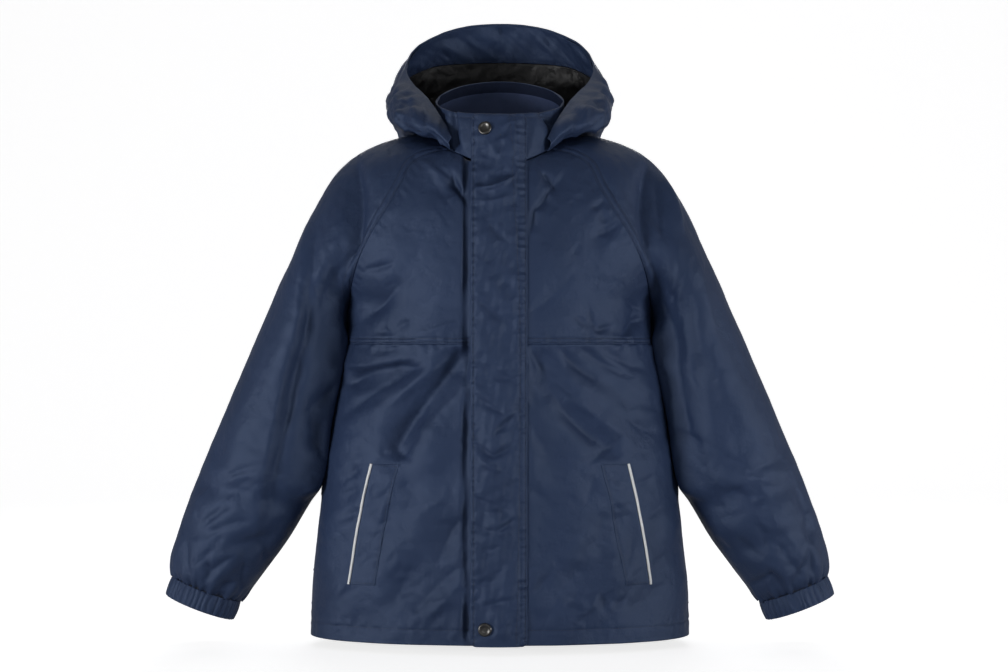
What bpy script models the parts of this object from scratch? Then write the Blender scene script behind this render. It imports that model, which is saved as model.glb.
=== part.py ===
"""Child's hooded raincoat in the hollow shape that it has when worn, hood down and front closed.

Frame: metres, +Z up, front towards -Y, +X towards the wearer's left. The origin is the middle of
the neck at the height of the side of the neck. Tables and sizes are in millimetres; millimetres
become metres only where a mesh is made. "right" and "left" are the wearer's.
"""

from math import asin, atan2, cos, degrees, pi, radians, sin

import bpy
import bmesh
import numpy as np
from mathutils import Matrix, Vector

MM = 0.001

# ------------------------------------------------------------------ driving sizes, millimetres
CLOTH = 1.2                 # wall of one sewn layer of cloth
SEAM = 0.4                  # gap between two pieces along the seam that joins them
LAY = 0.35                  # gap under a piece that lies on another

HEM_Z = -537.0              # bottom edge of the coat
YOKE_Z = -222.0             # seam across the chest
UNDERARM_Z = -187.0         # where side seam and raglan seams meet
UNDERARM_X = 165.0
FRONT_EDGE_X = 12.5         # each front ends here, beside the zip
BODY_ROUNDNESS = 2.15       # exponent of the body's level sections; 2 is an ellipse
CENTRE_DROP = 9.0           # a body row's middle hangs this much below its side seam end
ROW_BEND = 1.5              # exponent of the rise from a row's middle to its seam end

# How far out the coat stands at each level: half width, and depth to the front and to the back.
BODY_COLUMNS = "z side front back"
BODY_ROWS = (
    (-537, 206.0, 100.0, 95.0),
    (-480, 204.0, 101.5, 96.0),
    (-430, 198.5, 103.0, 97.0),
    (-388, 194.0, 104.0, 98.0),
    (-342, 188.5, 105.0, 99.0),
    (-305, 182.5, 105.0, 100.0),
    (-262, 174.5, 105.0, 101.0),
    (-220, 167.0, 104.5, 102.0),
    (-187, 163.5, 103.0, 102.0),
    (-150, 163.5, 101.0, 101.0),
    (-100, 163.5, 96.5, 98.0),
    (-60, 163.5, 90.0, 93.0),
    (-39, 163.5, 85.0, 88.0),
    (-15, 163.5, 81.0, 79.0),
    (0, 163.5, 79.0, 71.0),
    (18, 163.5, 76.0, 59.0),
)

# Neck seam: an oval that rises from the centre front to the centre back.
NECK_HALF_WIDTH = 66.0
NECK_HALF_DEPTH = 72.0
NECK_CENTRE_Y = -13.0
NECK_FRONT_Z = -39.0
NECK_BACK_Z = 18.0
NECK_RISE = 0.55
RAGLAN_FRONT_TURN = 55.0    # degrees round the neck, from the centre front
CROWN_TURN = 100.4
RAGLAN_BACK_TURN = 140.0
BODY_NECK_SHARE = 1 / 3     # of the raglan seam, over which body rows bend to the neck seam
SLEEVE_NECK_SHARE = 0.35    # the same for the sleeve

# Sleeve, one row for each station from the neck to the cuff: the seam or underarm line on its
# inner side, the crown line on its outer side, the angle at which each half section starts at
# its seam (0 on the closed tube) and the half sections' depths.
SLEEVE_COLUMNS = ("front_x front_z front_start front_depth crown_x crown_z "
                  "back_x back_z back_start back_depth")
SLEEVE_ROWS = (
    (54, -14, 100, 55, 65, 2, 42, 12, 100, 43),
    (75, -19, 105, 62, 95, 4, 70, 2, 105, 62),
    (93, -30, 108, 69, 123, -2, 92, -20, 108, 76),
    (104, -52, 108, 78, 155, -16, 108, -50, 106, 82),
    (117, -75, 105, 82, 177.5, -36, 122, -80, 104, 82),
    (132, -98, 98, 80, 194, -62, 137, -107, 97, 78),
    (147, -126, 80, 74, 212, -97, 150, -134, 78, 70),
    (158, -157, 45, 70, 226, -129, 160, -162, 43, 69),
    (165, -187, 0, 68, 240, -159, 165, -187, 0, 68),
    (169, -220, 0, 68, 254, -191, 169, -220, 0, 68),
    (186, -305, 0, 66, 289, -272, 186, -305, 0, 66),
    (197, -378, 0, 62, 318, -340, 197, -378, 0, 62),
    (211.5, -403, 0, 60, 327, -362, 211.5, -403, 0, 60),
    (230, -434, 0, 57, 340, -396, 230, -434, 0, 57),
    (252, -464, 0, 52, 351.5, -430, 252, -464, 0, 52),
    (270, -487, 0, 44, 358.5, -457, 270, -487, 0, 44),
    (283, -502, 0, 32, 356, -474, 283, -502, 0, 32),
)
UNDERARM_STATION = 8

# Elastic cuff: a short gathered band in line with the end of the sleeve.
CUFF_HEIGHT = 22.0
CUFF_RIBS = 36
CUFF_RIB_RISE = 1.6
CUFF_SWELL = 0.4            # how far its middle stands out between the two stitched edges
CUFF_WALL = 1.6

# Stand collar.
COLLAR_FRONT_TOP_Z = 21.0
COLLAR_BACK_TOP_Z = 70.0
COLLAR_TOP_RISE = 1.3
COLLAR_TOP_HALF_WIDTH = 70.0
COLLAR_TOP_FRONT_Y = -77.0
COLLAR_TOP_BACK_Y = 61.0
COLLAR_BOW = 2.0            # how far its middle stands out
COLLAR_BASE_GAP = 0.65      # above the neck seam

# Hood, folded down: one row for each station round the neck, from its front corner to the
# centre back. "turn" is the place on the neck seam; "tuck" is where the cloth turns down to
# rest on shoulder and back, "low" the bottom of the roll, "out" its widest part, "brim" the
# edge of the face opening.
HOOD_COLUMNS = ("turn tuck_x tuck_y tuck_z low_x low_y low_z out_x out_y out_z "
                "lip_x lip_y lip_z brim_x brim_y brim_z")
HOOD_ROWS = (
    (46, 52, -66, -14, 53, -68, -12, 54, -69, -9, 53, -68, -6, 51, -67, -4),
    (58, 64, -58, -4, 67, -61, 0, 73, -62, 9, 70, -58, 15, 61, -52, 17),
    (74, 78, -46, 4, 88, -50, 3, 101, -46, 20, 96, -36, 34, 78, -22, 43),
    (90, 84, -18, 9, 104, -26, 7, 119, -12, 28, 112, 2, 52, 98, 18, 66),
    (108, 84, 14, 13, 108, 20, 9, 122, 26, 34, 114, 40, 68, 105, 50, 88),
    (132, 70, 66, 13, 96, 98, -14, 116, 98, 14, 109, 94, 80, 92, 88, 115),
    (157, 40, 84, 3, 60, 120, -100, 82, 144, -24, 74, 130, 84, 52, 116, 137),
    (180, 0, 91, -6, 0, 126, -118, 0, 166, -44, 0, 150, 78, 0, 126, 144),
)
HOOD_NECK_OUT = 2.4         # its sewn edge lies outside the collar's foot
HOOD_NECK_UP = 2.2
HOOD_FACING_DEPTH = 45.0    # band inside the brim
HOOD_LINING_GAP = 0.6
HOOD_INNER_WALL = 1.0

# Storm flap over the zip, sewn on along its left edge and snapped at top and bottom.
FLAP_RIGHT_X = -31.0
FLAP_LEFT_X = 29.0
FLAP_TOP_Z = 21.0
FLAP_BOTTOM_Z = -538.5
FLAP_WALL = 1.6
FLAP_CORNER = 6.0
FLAP_EDGE_LIFT = 0.9        # how far its free edge stands off
FLAP_CROWN = 2.4            # how far its middle stands off, over the zip
FLAP_LAY = 0.5
SNAP_X = -15.5
SNAP_Z = {"top": 5.0, "bottom": -520.0}
SNAP_LAY = 0.45
SNAP_RADIUS = 7.2
# Section of a snap's cap from its middle: a shallow dish, a raised rim and the edge.
SNAP_PROFILE = ((0.0, 1.5), (3.4, 1.5), (4.6, 2.2), (6.2, 2.2), (SNAP_RADIUS, 1.2),
                (SNAP_RADIUS, 0.0), (0.0, 0.0))

ZIP_HALF_WIDTH = 12.1
ZIP_TOP_Z = 14.0
ZIP_BOTTOM_Z = -528.0
ZIP_SINK = 0.6              # the tapes lie this much behind the fronts' faces
ZIP_WALL = 1.0
ZIP_COIL_HALF_WIDTH = 2.6
ZIP_COIL_SHOULDER = 1.0
ZIP_COIL_RISE = 1.2
SLIDER_SIZE = (8.0, 1.6, 12.0)
SLIDER_Z = 3.0
SLIDER_BEVEL = 0.5

# Slanted welt pockets: the piped edge and, nearer the zip, the edge that is sewn down.
WELT_TOP_Z = -348.5
WELT_BOTTOM_Z = -476.5
WELT_TOP_X = 133.5
WELT_BOTTOM_X = 158.0
WELT_BOW = 2.0
WELT_WIDTH = 27.0
WELT_WALL = 1.0
WELT_EXTRA = 0.15           # more room where the front's folds are faceted
PIPING_RADIUS = 1.4

# Largest folds: soft troughs between two points seen from the front or from the back.
FOLD_COLUMNS = "x0 z0 x1 z1 depth reach"
FRONT_FOLDS = (
    (-38, -235, -106, -328, 5.0, 15),
    (-160, -258, -96, -250, 3.5, 12),
    (-140, -186, -112, -164, 3.0, 12),
    (-95, -470, -60, -400, 2.5, 16),
    (37, -238, 112, -328, 5.0, 14),
    (84, -240, 140, -284, 3.0, 11),
    (104, -109, 130, -88, 3.0, 11),
    (128, -210, 152, -190, 3.0, 11),
    (70, -480, 112, -410, 2.5, 16),
)
BACK_FOLDS = (
    (-30, -240, -120, -330, 4.5, 16),
    (40, -230, 118, -310, 4.0, 15),
    (-140, -190, -100, -165, 3.0, 12),
    (105, -170, 145, -196, 3.0, 12),
    (-60, -400, -85, -500, 3.0, 18),
    (62, -410, 40, -505, 3.0, 18),
)
SLEEVE_FOLDS = (
    (162, -60, 178, -225, 4.5, 18),
    (215, -250, 255, -330, 3.5, 14),
    (222, -395, 322, -372, 4.5, 12),
    (262, -440, 336, -420, 3.0, 11),
    (300, -345, 322, -300, 3.0, 12),
)

# Cloth is held and can't fold near these lines; each value is how far that reaches.
SEAM_HOLD = 20.0
YOKE_HOLD = 14.0
HEM_HOLD = (-10.0, 40.0)    # from below the hem to above it
FLAP_HOLD = (30.0, 45.0)    # from the centre line
NECK_HOLD = 0.2             # share of the raglan seam
SLEEVE_NECK_HOLD = 30.0
SLEEVE_END_HOLD = 25.0
SLEEVE_SEAM_HOLD = 0.12     # share of half the sleeve's girth
OUTLINE_HOLD = (0.15, 0.7)  # folds fade where the cloth turns away to the side

# Mesh density: cells along and across each piece.
RAGLAN_CELLS = 10
SLEEVE_CELLS = 15
HALF_SLEEVE_CELLS = 8
FRONT_CELLS = 12
BACK_CELLS = 18
LOWER_CELLS = 14
COLLAR_CELLS = (34, 3)
HOOD_CELLS = 12
FACING_FROM = 1             # facing and lining start this many cells from the front corner
LINING_FROM = 3
FLAP_CELLS = (8, 26)
FACING_CELLS = 3
LINING_CELLS = 11
ZIP_CELLS = 20
WELT_CELLS = (8, 3)
HOOD_SAMPLES = 80
COLUMN_CROWDING = 0.9       # below 1, body columns stand closer at the side
SLOPE_STEP = 5.0            # half the distance over which a slope is measured

FINISHES = {
    "shell": ((0.026, 0.042, 0.095, 1.0), 0.52, 0.0),
    "lining": ((0.006, 0.006, 0.007, 1.0), 0.45, 0.0),
    "snap": ((0.030, 0.031, 0.034, 1.0), 0.35, 0.9),
    "piping": ((0.55, 0.56, 0.57, 1.0), 0.35, 0.0),
    "zip": ((0.010, 0.013, 0.022, 1.0), 0.60, 0.0),
}


# ------------------------------------------------------------------ small helpers
def named_columns(names, rows):
    """The rows of a table as one array for each named column."""
    return {name: np.array([row[i] for row in rows], float)
            for i, name in enumerate(names.split())}


def smooth(at, knots, values):
    """Cubic curve through the values, with slopes taken from their neighbours."""
    slopes = np.gradient(values, knots, axis=0)
    i = int(np.clip(np.searchsorted(knots, at) - 1, 0, len(knots) - 2))
    span = knots[i + 1] - knots[i]
    t = (at - knots[i]) / span
    return ((1 + 2 * t) * (1 - t) ** 2 * values[i] + t * (1 - t) ** 2 * span * slopes[i]
            + t * t * (3 - 2 * t) * values[i + 1] + t * t * (t - 1) * span * slopes[i + 1])


def ease(value, low, high):
    """0 below low, 1 above high, and a soft step between them."""
    t = min(max((value - low) / (high - low), 0.0), 1.0)
    return t * t * (3 - 2 * t)


def spaced(start, end, cells):
    """Evenly spaced values from start to end."""
    return [start + (end - start) * i / cells for i in range(cells + 1)]


BODY = named_columns(BODY_COLUMNS, BODY_ROWS)
SLEEVE = named_columns(SLEEVE_COLUMNS, SLEEVE_ROWS)
HOOD = named_columns(HOOD_COLUMNS, HOOD_ROWS)


def fold_depth(folds, x, z):
    """How deep the listed folds are at a place seen from the front or the back."""
    total = 0.0
    for x0, z0, x1, z1, depth, reach in folds:
        length2 = (x1 - x0) ** 2 + (z1 - z0) ** 2
        along = ((x - x0) * (x1 - x0) + (z - z0) * (z1 - z0)) / length2
        near = min(max(along, 0.0), 1.0)
        off2 = (x - x0 - near * (x1 - x0)) ** 2 + (z - z0 - near * (z1 - z0)) ** 2
        total += depth * np.exp(-off2 / reach ** 2)
    return total


# ------------------------------------------------------------------ the coat's surfaces
def neck_ring(turn):
    """Point of the neck seam; turn is 0 at the centre front and 180 at the centre back."""
    angle = radians(turn)
    rise = ((1 - cos(angle)) / 2) ** NECK_RISE
    return Vector((NECK_HALF_WIDTH * sin(angle),
                   NECK_CENTRE_Y - NECK_HALF_DEPTH * cos(angle),
                   NECK_FRONT_Z + (NECK_BACK_Z - NECK_FRONT_Z) * rise))


def sleeve_stations():
    """Distance down the sleeve at each row of its table."""
    middle = np.column_stack([(SLEEVE["front_x"] + SLEEVE["crown_x"]) / 2,
                              (SLEEVE["front_z"] + SLEEVE["crown_z"]) / 2])
    steps = np.linalg.norm(np.diff(middle, axis=0), axis=1)
    return np.concatenate([[0.0], np.cumsum(steps)])


STATIONS = sleeve_stations()
UNDERARM = STATIONS[UNDERARM_STATION]
SLEEVE_END = STATIONS[-1]


def sleeve_section(row, across):
    """Point and outward direction on one section, from a row of the sleeve's table."""
    half = "front" if across < 0 else "back"
    side = -1.0 if across < 0 else 1.0
    start = radians(row[half + "_start"])
    depth = row[half + "_depth"]
    angle = pi - abs(across) * (pi - start)
    crown = Vector((row["crown_x"], 0.0, row["crown_z"]))
    seam = Vector((row[half + "_x"], 0.0, row[half + "_z"]))
    reach = (crown - seam) / (1 + cos(start))
    point = crown - reach * (1 + cos(angle)) + Vector((0, side * depth * sin(angle), 0))
    away = -reach.normalized() * cos(angle) * depth
    away += Vector((0, side * sin(angle) * reach.length, 0))
    return point, away.normalized()


def sleeve_point(down, across):
    """Point of the left sleeve's outer face, and the direction away from the arm.

    down is the distance from the neck; across runs from -1 at the front seam over 0 at the
    crown to 1 at the back seam.
    """
    row = {name: float(smooth(down, STATIONS, values)) for name, values in SLEEVE.items()}
    if down >= UNDERARM:
        row.update(front_start=0.0, back_start=0.0, back_x=row["front_x"], back_z=row["front_z"])
    point, away = sleeve_section(row, across)
    near_neck = max(0.0, 1 - down / (SLEEVE_NECK_SHARE * UNDERARM)) ** 2
    if near_neck > 0:
        first = {name: float(values[0]) for name, values in SLEEVE.items()}
        seam_turn = RAGLAN_FRONT_TURN if across < 0 else RAGLAN_BACK_TURN
        turn = CROWN_TURN + (seam_turn - CROWN_TURN) * abs(across)
        point += (neck_ring(turn) - sleeve_section(first, across)[0]) * near_neck
    return point, away


def folded_sleeve_point(down, across):
    """Sleeve point with the largest folds pressed in; seams stay where they are."""
    point, away = sleeve_point(down, across)
    hold = ease(1 - abs(across), 0.0, SLEEVE_SEAM_HOLD) * ease(abs(away.y), *OUTLINE_HOLD)
    hold *= ease(SLEEVE_END - down, 0.0, SLEEVE_END_HOLD) * ease(down, 0.0, SLEEVE_NECK_HOLD)
    return point - away * fold_depth(SLEEVE_FOLDS, point.x, point.z) * hold


def section_y(depth, side, x):
    """Distance from the middle of a level section to its edge, x from the centre line."""
    share = min(x / side, 1.0)
    return depth * (1 - share ** BODY_ROUNDNESS) ** (1 / BODY_ROUNDNESS)


def rung_section(half, seam, centre_z):
    """Depth and half width of the level section through a row's centre and its seam point."""
    depth = float(smooth(centre_z, BODY["z"], BODY[half]))
    share = min(abs(seam.y) / depth, 0.98)
    return depth, seam.x / (1 - share ** BODY_ROUNDNESS) ** (1 / BODY_ROUNDNESS)


def rung_point(half, seam, centre_z, x):
    """Point of a body row before it is bent to the neck seam."""
    sign = -1.0 if half == "front" else 1.0
    depth, side = rung_section(half, seam, centre_z)
    z = centre_z + (seam.z - centre_z) * (x / seam.x) ** ROW_BEND
    return Vector((x, sign * section_y(depth, side, x), z))


def body_point(half, seam, centre_z, x, level):
    """Point of a body panel's outer face at distance x from the centre line.

    level is 0 at the neck and 1 at the underarm; rows near the neck bend to its seam. The
    second value is the level direction away from the body.
    """
    point = rung_point(half, seam, centre_z, x)
    depth, side = rung_section(half, seam, centre_z)
    slope_x = min(x / side, 1.0) ** (BODY_ROUNDNESS - 1) / side
    slope_y = (abs(point.y) / depth) ** (BODY_ROUNDNESS - 1) / depth
    away = Vector((slope_x, slope_y if point.y > 0 else -slope_y, 0)).normalized()
    near_neck = max(0.0, 1 - level / BODY_NECK_SHARE) ** 2
    if near_neck > 0:
        front = half == "front"
        top_seam = neck_ring(RAGLAN_FRONT_TURN if front else RAGLAN_BACK_TURN)
        top_x = x * top_seam.x / seam.x
        turn = degrees(asin(min(top_x / NECK_HALF_WIDTH, 1.0)))
        top = rung_point(half, top_seam, NECK_FRONT_Z if front else NECK_BACK_Z, top_x)
        point += (neck_ring(turn if front else 180 - turn) - top) * near_neck
    return point, away


def raglan_rungs(half):
    """(seam point, centre-line height, level) for each row from the neck to the underarm."""
    rungs = []
    top_z = NECK_FRONT_Z if half == "front" else NECK_BACK_Z
    for down in spaced(0.0, UNDERARM, RAGLAN_CELLS):
        seam = sleeve_point(down, -1.0 if half == "front" else 1.0)[0]
        level = down / UNDERARM
        rungs.append((seam, top_z + (UNDERARM_Z - CENTRE_DROP - top_z) * level, level))
    return rungs


def side_seam(z):
    """Point of the side seam below the underarm."""
    x = float(smooth(z, BODY["z"], BODY["side"]))
    blend = ease(z, UNDERARM_Z - SEAM_HOLD, UNDERARM_Z)
    return Vector((x + (UNDERARM_X - x) * blend, 0.0, z))


def side_rungs(heights):
    """(seam point, centre-line height, level) for rows below the underarm."""
    return [(side_seam(z), z - CENTRE_DROP * ease(z, YOKE_Z, UNDERARM_Z), 1.0)
            for z in heights]


UPPER_HEIGHTS = ((YOKE_Z + UNDERARM_Z) / 2, YOKE_Z)
LOWER_HEIGHTS = spaced(YOKE_Z, HEM_Z, LOWER_CELLS)


def front_x(seam, start_x, fraction):
    """Distance from the centre line for a column; columns crowd towards the curved side."""
    return start_x + (seam.x - start_x) * sin(fraction * pi / 2) ** COLUMN_CROWDING


def body_hold(half, seam_x, x, z, level):
    """How freely a body panel folds: 0 where a seam, the hem or the flap holds it, up to 1."""
    hold = ease(seam_x - x, 0.0, SEAM_HOLD) * ease(level, 0.0, NECK_HOLD)
    hold *= ease(z - HEM_Z, *HEM_HOLD)
    if half == "front":
        hold *= ease(x, *FLAP_HOLD) * ease(abs(z - YOKE_Z), 0.0, YOKE_HOLD)
    return hold


def body_grid(half, rungs, side, cells, start_x):
    """Grid of points for one side (1 left, -1 right) of a body panel."""
    folds = FRONT_FOLDS if half == "front" else BACK_FOLDS
    grid = []
    for seam, centre_z, level in rungs:
        row = []
        for i in range(cells + 1):
            x = front_x(seam, start_x, i / cells)
            point, away = body_point(half, seam, centre_z, x, level)
            hold = body_hold(half, seam.x, x, point.z, level)
            point.x *= side
            away.x *= side
            row.append(point - away * fold_depth(folds, point.x, point.z) * hold)
        grid.append(row)
    return grid


def front_surface(x, z, side):
    """Outer face of a lower front at a given place, with its folds."""
    point, away = body_point("front", side_seam(z), z, x, 1.0)
    hold = body_hold("front", side_seam(z).x, x, z, 1.0)
    point.x *= side
    away.x *= side
    return point - away * fold_depth(FRONT_FOLDS, point.x, z) * hold, away


def collar_point(turn, up):
    """Outer face of the collar; up is 0 at the neck seam and 1 at the top edge."""
    angle = radians(turn)
    base = neck_ring(turn) + Vector((0, 0, COLLAR_BASE_GAP))
    top_y = (COLLAR_TOP_FRONT_Y + COLLAR_TOP_BACK_Y) / 2
    top_half = (COLLAR_TOP_BACK_Y - COLLAR_TOP_FRONT_Y) / 2
    rise = ((1 - cos(angle)) / 2) ** COLLAR_TOP_RISE
    top = Vector((COLLAR_TOP_HALF_WIDTH * sin(angle), top_y - top_half * cos(angle),
                  COLLAR_FRONT_TOP_Z + (COLLAR_BACK_TOP_Z - COLLAR_FRONT_TOP_Z) * rise))
    bow = COLLAR_BOW * sin(pi * up)
    out = Vector((sin(angle), -cos(angle), 0))
    return base.lerp(top, up) + out * bow


def hood_guides(turn_share):
    """The hood's guide points from the neck seam to the brim at a place round the neck."""
    stations = np.arange(len(HOOD_ROWS) + 1, dtype=float)
    row = {}
    for name, values in HOOD.items():
        beyond = -values[-2] if name.endswith("_x") else values[-2]
        if name == "turn":
            beyond = 360 - values[-2]
        row[name] = float(smooth(turn_share * (len(HOOD_ROWS) - 1), stations,
                                 np.append(values, beyond)))
    angle = radians(row["turn"])
    neck = neck_ring(row["turn"])
    neck += Vector((sin(angle) * HOOD_NECK_OUT, -cos(angle) * HOOD_NECK_OUT, HOOD_NECK_UP))
    guides = [neck]
    for name in ("tuck", "low", "out", "lip", "brim"):
        guides.append(Vector((row[name + "_x"], row[name + "_y"], row[name + "_z"])))
    return guides


def hood_curve(turn_share):
    """Smooth section of the left half hood, from the brim to the neck seam, with its lengths."""
    guides = np.array(hood_guides(turn_share))[::-1]
    knots = np.concatenate([[0.0], np.cumsum(np.linalg.norm(np.diff(guides, axis=0), axis=1))])
    curve = np.array([smooth(at, knots, guides)
                      for at in np.linspace(0, knots[-1], HOOD_SAMPLES)])
    steps = np.linalg.norm(np.diff(curve, axis=0), axis=1)
    return curve, np.concatenate([[0.0], np.cumsum(steps)])


def hood_point(section, distance):
    """Point of a hood section at a distance from the brim."""
    curve, lengths = section
    return Vector([np.interp(distance, lengths, curve[:, k]) for k in range(3)])


# ------------------------------------------------------------------ mesh making
def finish(obj, kind):
    """Give the object its own Principled material and a smooth face."""
    colour, roughness, metallic = FINISHES[kind]
    material = bpy.data.materials.new(obj.name + "_finish")
    material.use_nodes = True
    shader = material.node_tree.nodes["Principled BSDF"]
    shader.inputs["Base Color"].default_value = colour
    shader.inputs["Roughness"].default_value = roughness
    shader.inputs["Metallic"].default_value = metallic
    material.diffuse_color = colour
    obj.data.materials.append(material)
    if obj.type == "MESH":
        obj.data.shade_smooth()
        obj.data.set_sharp_from_angle(angle=radians(50))


def adopt(obj, kind):
    """Move an object that a tool made into the coat's collection, with its finish."""
    for collection in list(obj.users_collection):
        collection.objects.unlink(obj)
    COAT.objects.link(obj)
    finish(obj, kind)


def new_object(name, bm, kind):
    """Put a bmesh that is in millimetres into the coat's collection as a named object."""
    bmesh.ops.scale(bm, vec=(MM, MM, MM), verts=bm.verts)
    mesh = bpy.data.meshes.new(name)
    bm.to_mesh(mesh)
    bm.free()
    obj = bpy.data.objects.new(name, mesh)
    COAT.objects.link(obj)
    finish(obj, kind)
    return obj


def pull_back(grid, edges, gap):
    """Move the named edges of a grid inwards along the cloth, to open the gap at a seam."""
    rows = [[point.copy() for point in row] for row in grid]
    for row, source in zip(rows, grid):
        if "first_column" in edges:
            row[0] += (source[1] - source[0]).normalized() * gap
        if "last_column" in edges:
            row[-1] += (source[-2] - source[-1]).normalized() * gap
    for i in range(len(rows[0])):
        if "first_row" in edges:
            rows[0][i] += (grid[1][i] - grid[0][i]).normalized() * gap
        if "last_row" in edges:
            rows[-1][i] += (grid[-2][i] - grid[-1][i]).normalized() * gap
    return rows


def grid_bmesh(grid, flip=False):
    """Open surface through a grid of points; coinciding points are welded.

    With rows running down and columns towards -X its faces look to -Y; flip turns them round.
    """
    bm = bmesh.new()
    verts = [[bm.verts.new(point) for point in row] for row in grid]
    for upper, lower in zip(verts, verts[1:]):
        for i in range(len(upper) - 1):
            corners = [upper[i], upper[i + 1], lower[i + 1], lower[i]]
            bm.faces.new(corners[::-1] if flip else corners)
    bmesh.ops.remove_doubles(bm, verts=bm.verts, dist=0.01)
    return bm


def cloth(name, grid, kind="shell", flip=False, wall=CLOTH):
    """Wall of cloth whose outer face runs through the grid."""
    obj = new_object(name, grid_bmesh(grid, flip), kind)
    solidify = obj.modifiers.new("wall", "SOLIDIFY")
    solidify.thickness = wall * MM
    solidify.offset = -1.0
    return obj


def walled(name, outer, inner, kind):
    """Closed wall between two grids that share their offsets, so that layers stay parallel."""
    bm = bmesh.new()
    front, back = ([[bm.verts.new(point) for point in row] for row in grid]
                   for grid in (outer, inner))
    last_row, last_column = len(outer) - 1, len(outer[0]) - 1
    faces = []
    for j in range(last_row):
        for i in range(last_column):
            for spots in (((j, i), (j + 1, i), (j + 1, i + 1)),
                          ((j, i), (j + 1, i + 1), (j, i + 1))):
                faces.append([front[row][column] for row, column in spots])
                faces.append([back[row][column] for row, column in spots[::-1]])
    for j in range(last_row):
        for i, turn in ((0, 1), (last_column, -1)):
            faces.append([front[j][i], back[j][i], back[j + 1][i], front[j + 1][i]][::turn])
    for i in range(last_column):
        for j, turn in ((0, -1), (last_row, 1)):
            faces.append([front[j][i], back[j][i], back[j][i + 1], front[j][i + 1]][::turn])
    for face in faces:
        bm.faces.new(face)
    return new_object(name, bm, kind)


def mirrored(grid):
    """The same grid on the other side of the coat."""
    return [[Vector((-point.x, point.y, point.z)) for point in row] for row in grid]


# ------------------------------------------------------------------ the pieces
def make_fronts():
    """Upper and lower front on each side, parted at the yoke seam."""
    upper = raglan_rungs("front") + side_rungs(UPPER_HEIGHTS)
    lower = side_rungs(LOWER_HEIGHTS)
    for side, word in ((-1, "right"), (1, "left")):
        grid = body_grid("front", upper, side, FRONT_CELLS, FRONT_EDGE_X)
        grid = pull_back(grid, ("first_row", "last_row", "last_column"), SEAM / 2)
        cloth("front_upper_" + word, grid, flip=side > 0)
        grid = body_grid("front", lower, side, FRONT_CELLS, FRONT_EDGE_X)
        grid = pull_back(grid, ("first_row", "last_column"), SEAM / 2)
        cloth("front_lower_" + word, grid, flip=side > 0)


def make_back():
    """Back in one piece, from neck to hem."""
    rungs = raglan_rungs("back") + side_rungs(UPPER_HEIGHTS) + side_rungs(LOWER_HEIGHTS[1:])
    left = body_grid("back", rungs, 1, BACK_CELLS // 2, 0.0)
    right = body_grid("back", rungs, -1, BACK_CELLS // 2, 0.0)
    grid = [list(reversed(a))[:-1] + b for a, b in zip(left, right)]
    grid = pull_back(grid, ("first_row", "first_column", "last_column"), SEAM / 2)
    cloth("back", grid, flip=True)


def make_sleeves():
    """Raglan sleeves: open from the neck to the underarm, a tube from there to the cuff."""
    downs = spaced(0.0, UNDERARM, RAGLAN_CELLS)
    downs += spaced(UNDERARM, SLEEVE_END, SLEEVE_CELLS)[1:]
    acrosses = spaced(-1.0, 1.0, 2 * HALF_SLEEVE_CELLS)
    grid = [[folded_sleeve_point(down, across) for across in acrosses] for down in downs]
    open_part = pull_back(grid[:RAGLAN_CELLS], ("first_column", "last_column"), SEAM / 2)
    grid = open_part + grid[RAGLAN_CELLS:]
    corner = (grid[RAGLAN_CELLS + 1][0] - grid[RAGLAN_CELLS][0]).normalized() * SEAM
    grid[RAGLAN_CELLS][0] += corner
    grid[RAGLAN_CELLS][-1] += corner
    grid = pull_back(grid, ("first_row", "last_row"), SEAM / 2)
    cloth("sleeve_left", grid, flip=True)
    cloth("sleeve_right", mirrored(grid))


def cuff_loop(height, offset, count, rib):
    """One ring of a cuff, height millimetres below the sleeve's end."""
    last = {name: values[-1] for name, values in SLEEVE.items()}
    inner = Vector((last["front_x"], 0, last["front_z"]))
    outer = Vector((last["crown_x"], 0, last["crown_z"]))
    across = (outer - inner).normalized()
    down = Vector((across.z, 0, -across.x))
    centre = (inner + outer) / 2 + down * height
    half = (outer - inner).length / 2 + offset
    depth = last["front_depth"] + offset
    points = []
    for i in range(count):
        angle = 2 * pi * i / count
        swell = 1 + rib * cos(CUFF_RIBS * angle) / half
        points.append(centre - across * half * swell * cos(angle)
                      - Vector((0, depth * swell * sin(angle), 0)))
    return points


def make_cuffs():
    """Elastic cuffs: gathers stand on the outer face, over a plain inner face."""
    count = 2 * CUFF_RIBS
    rise = CUFF_RIB_RISE / 2
    loops = [cuff_loop(SEAM, -CUFF_WALL, count, 0.0),
             cuff_loop(SEAM, rise / 2, count, rise / 2),
             cuff_loop(CUFF_HEIGHT / 2, rise + CUFF_SWELL, count, rise),
             cuff_loop(CUFF_HEIGHT, rise / 2, count, rise / 2),
             cuff_loop(CUFF_HEIGHT, -CUFF_WALL, count, 0.0)]
    for word, side in (("left", 1), ("right", -1)):
        bm = bmesh.new()
        rings = [[bm.verts.new((point.x * side, point.y, point.z)) for point in loop]
                 for loop in loops]
        for k, ring in enumerate(rings):
            below = rings[(k + 1) % len(rings)]
            for i in range(count):
                j = (i + 1) % count
                corners = [ring[i], ring[j], below[j], below[i]]
                bm.faces.new(corners if side < 0 else corners[::-1])
        new_object("cuff_" + word, bm, "shell")


def make_collar():
    """Stand collar round the neck, open at the zip."""
    edge = degrees(asin(FRONT_EDGE_X / NECK_HALF_WIDTH))
    turns = spaced(edge, 360 - edge, COLLAR_CELLS[0])
    grid = [[collar_point(turn, up) for turn in turns] for up in spaced(1, 0, COLLAR_CELLS[1])]
    cloth("collar", grid, flip=True)


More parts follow.
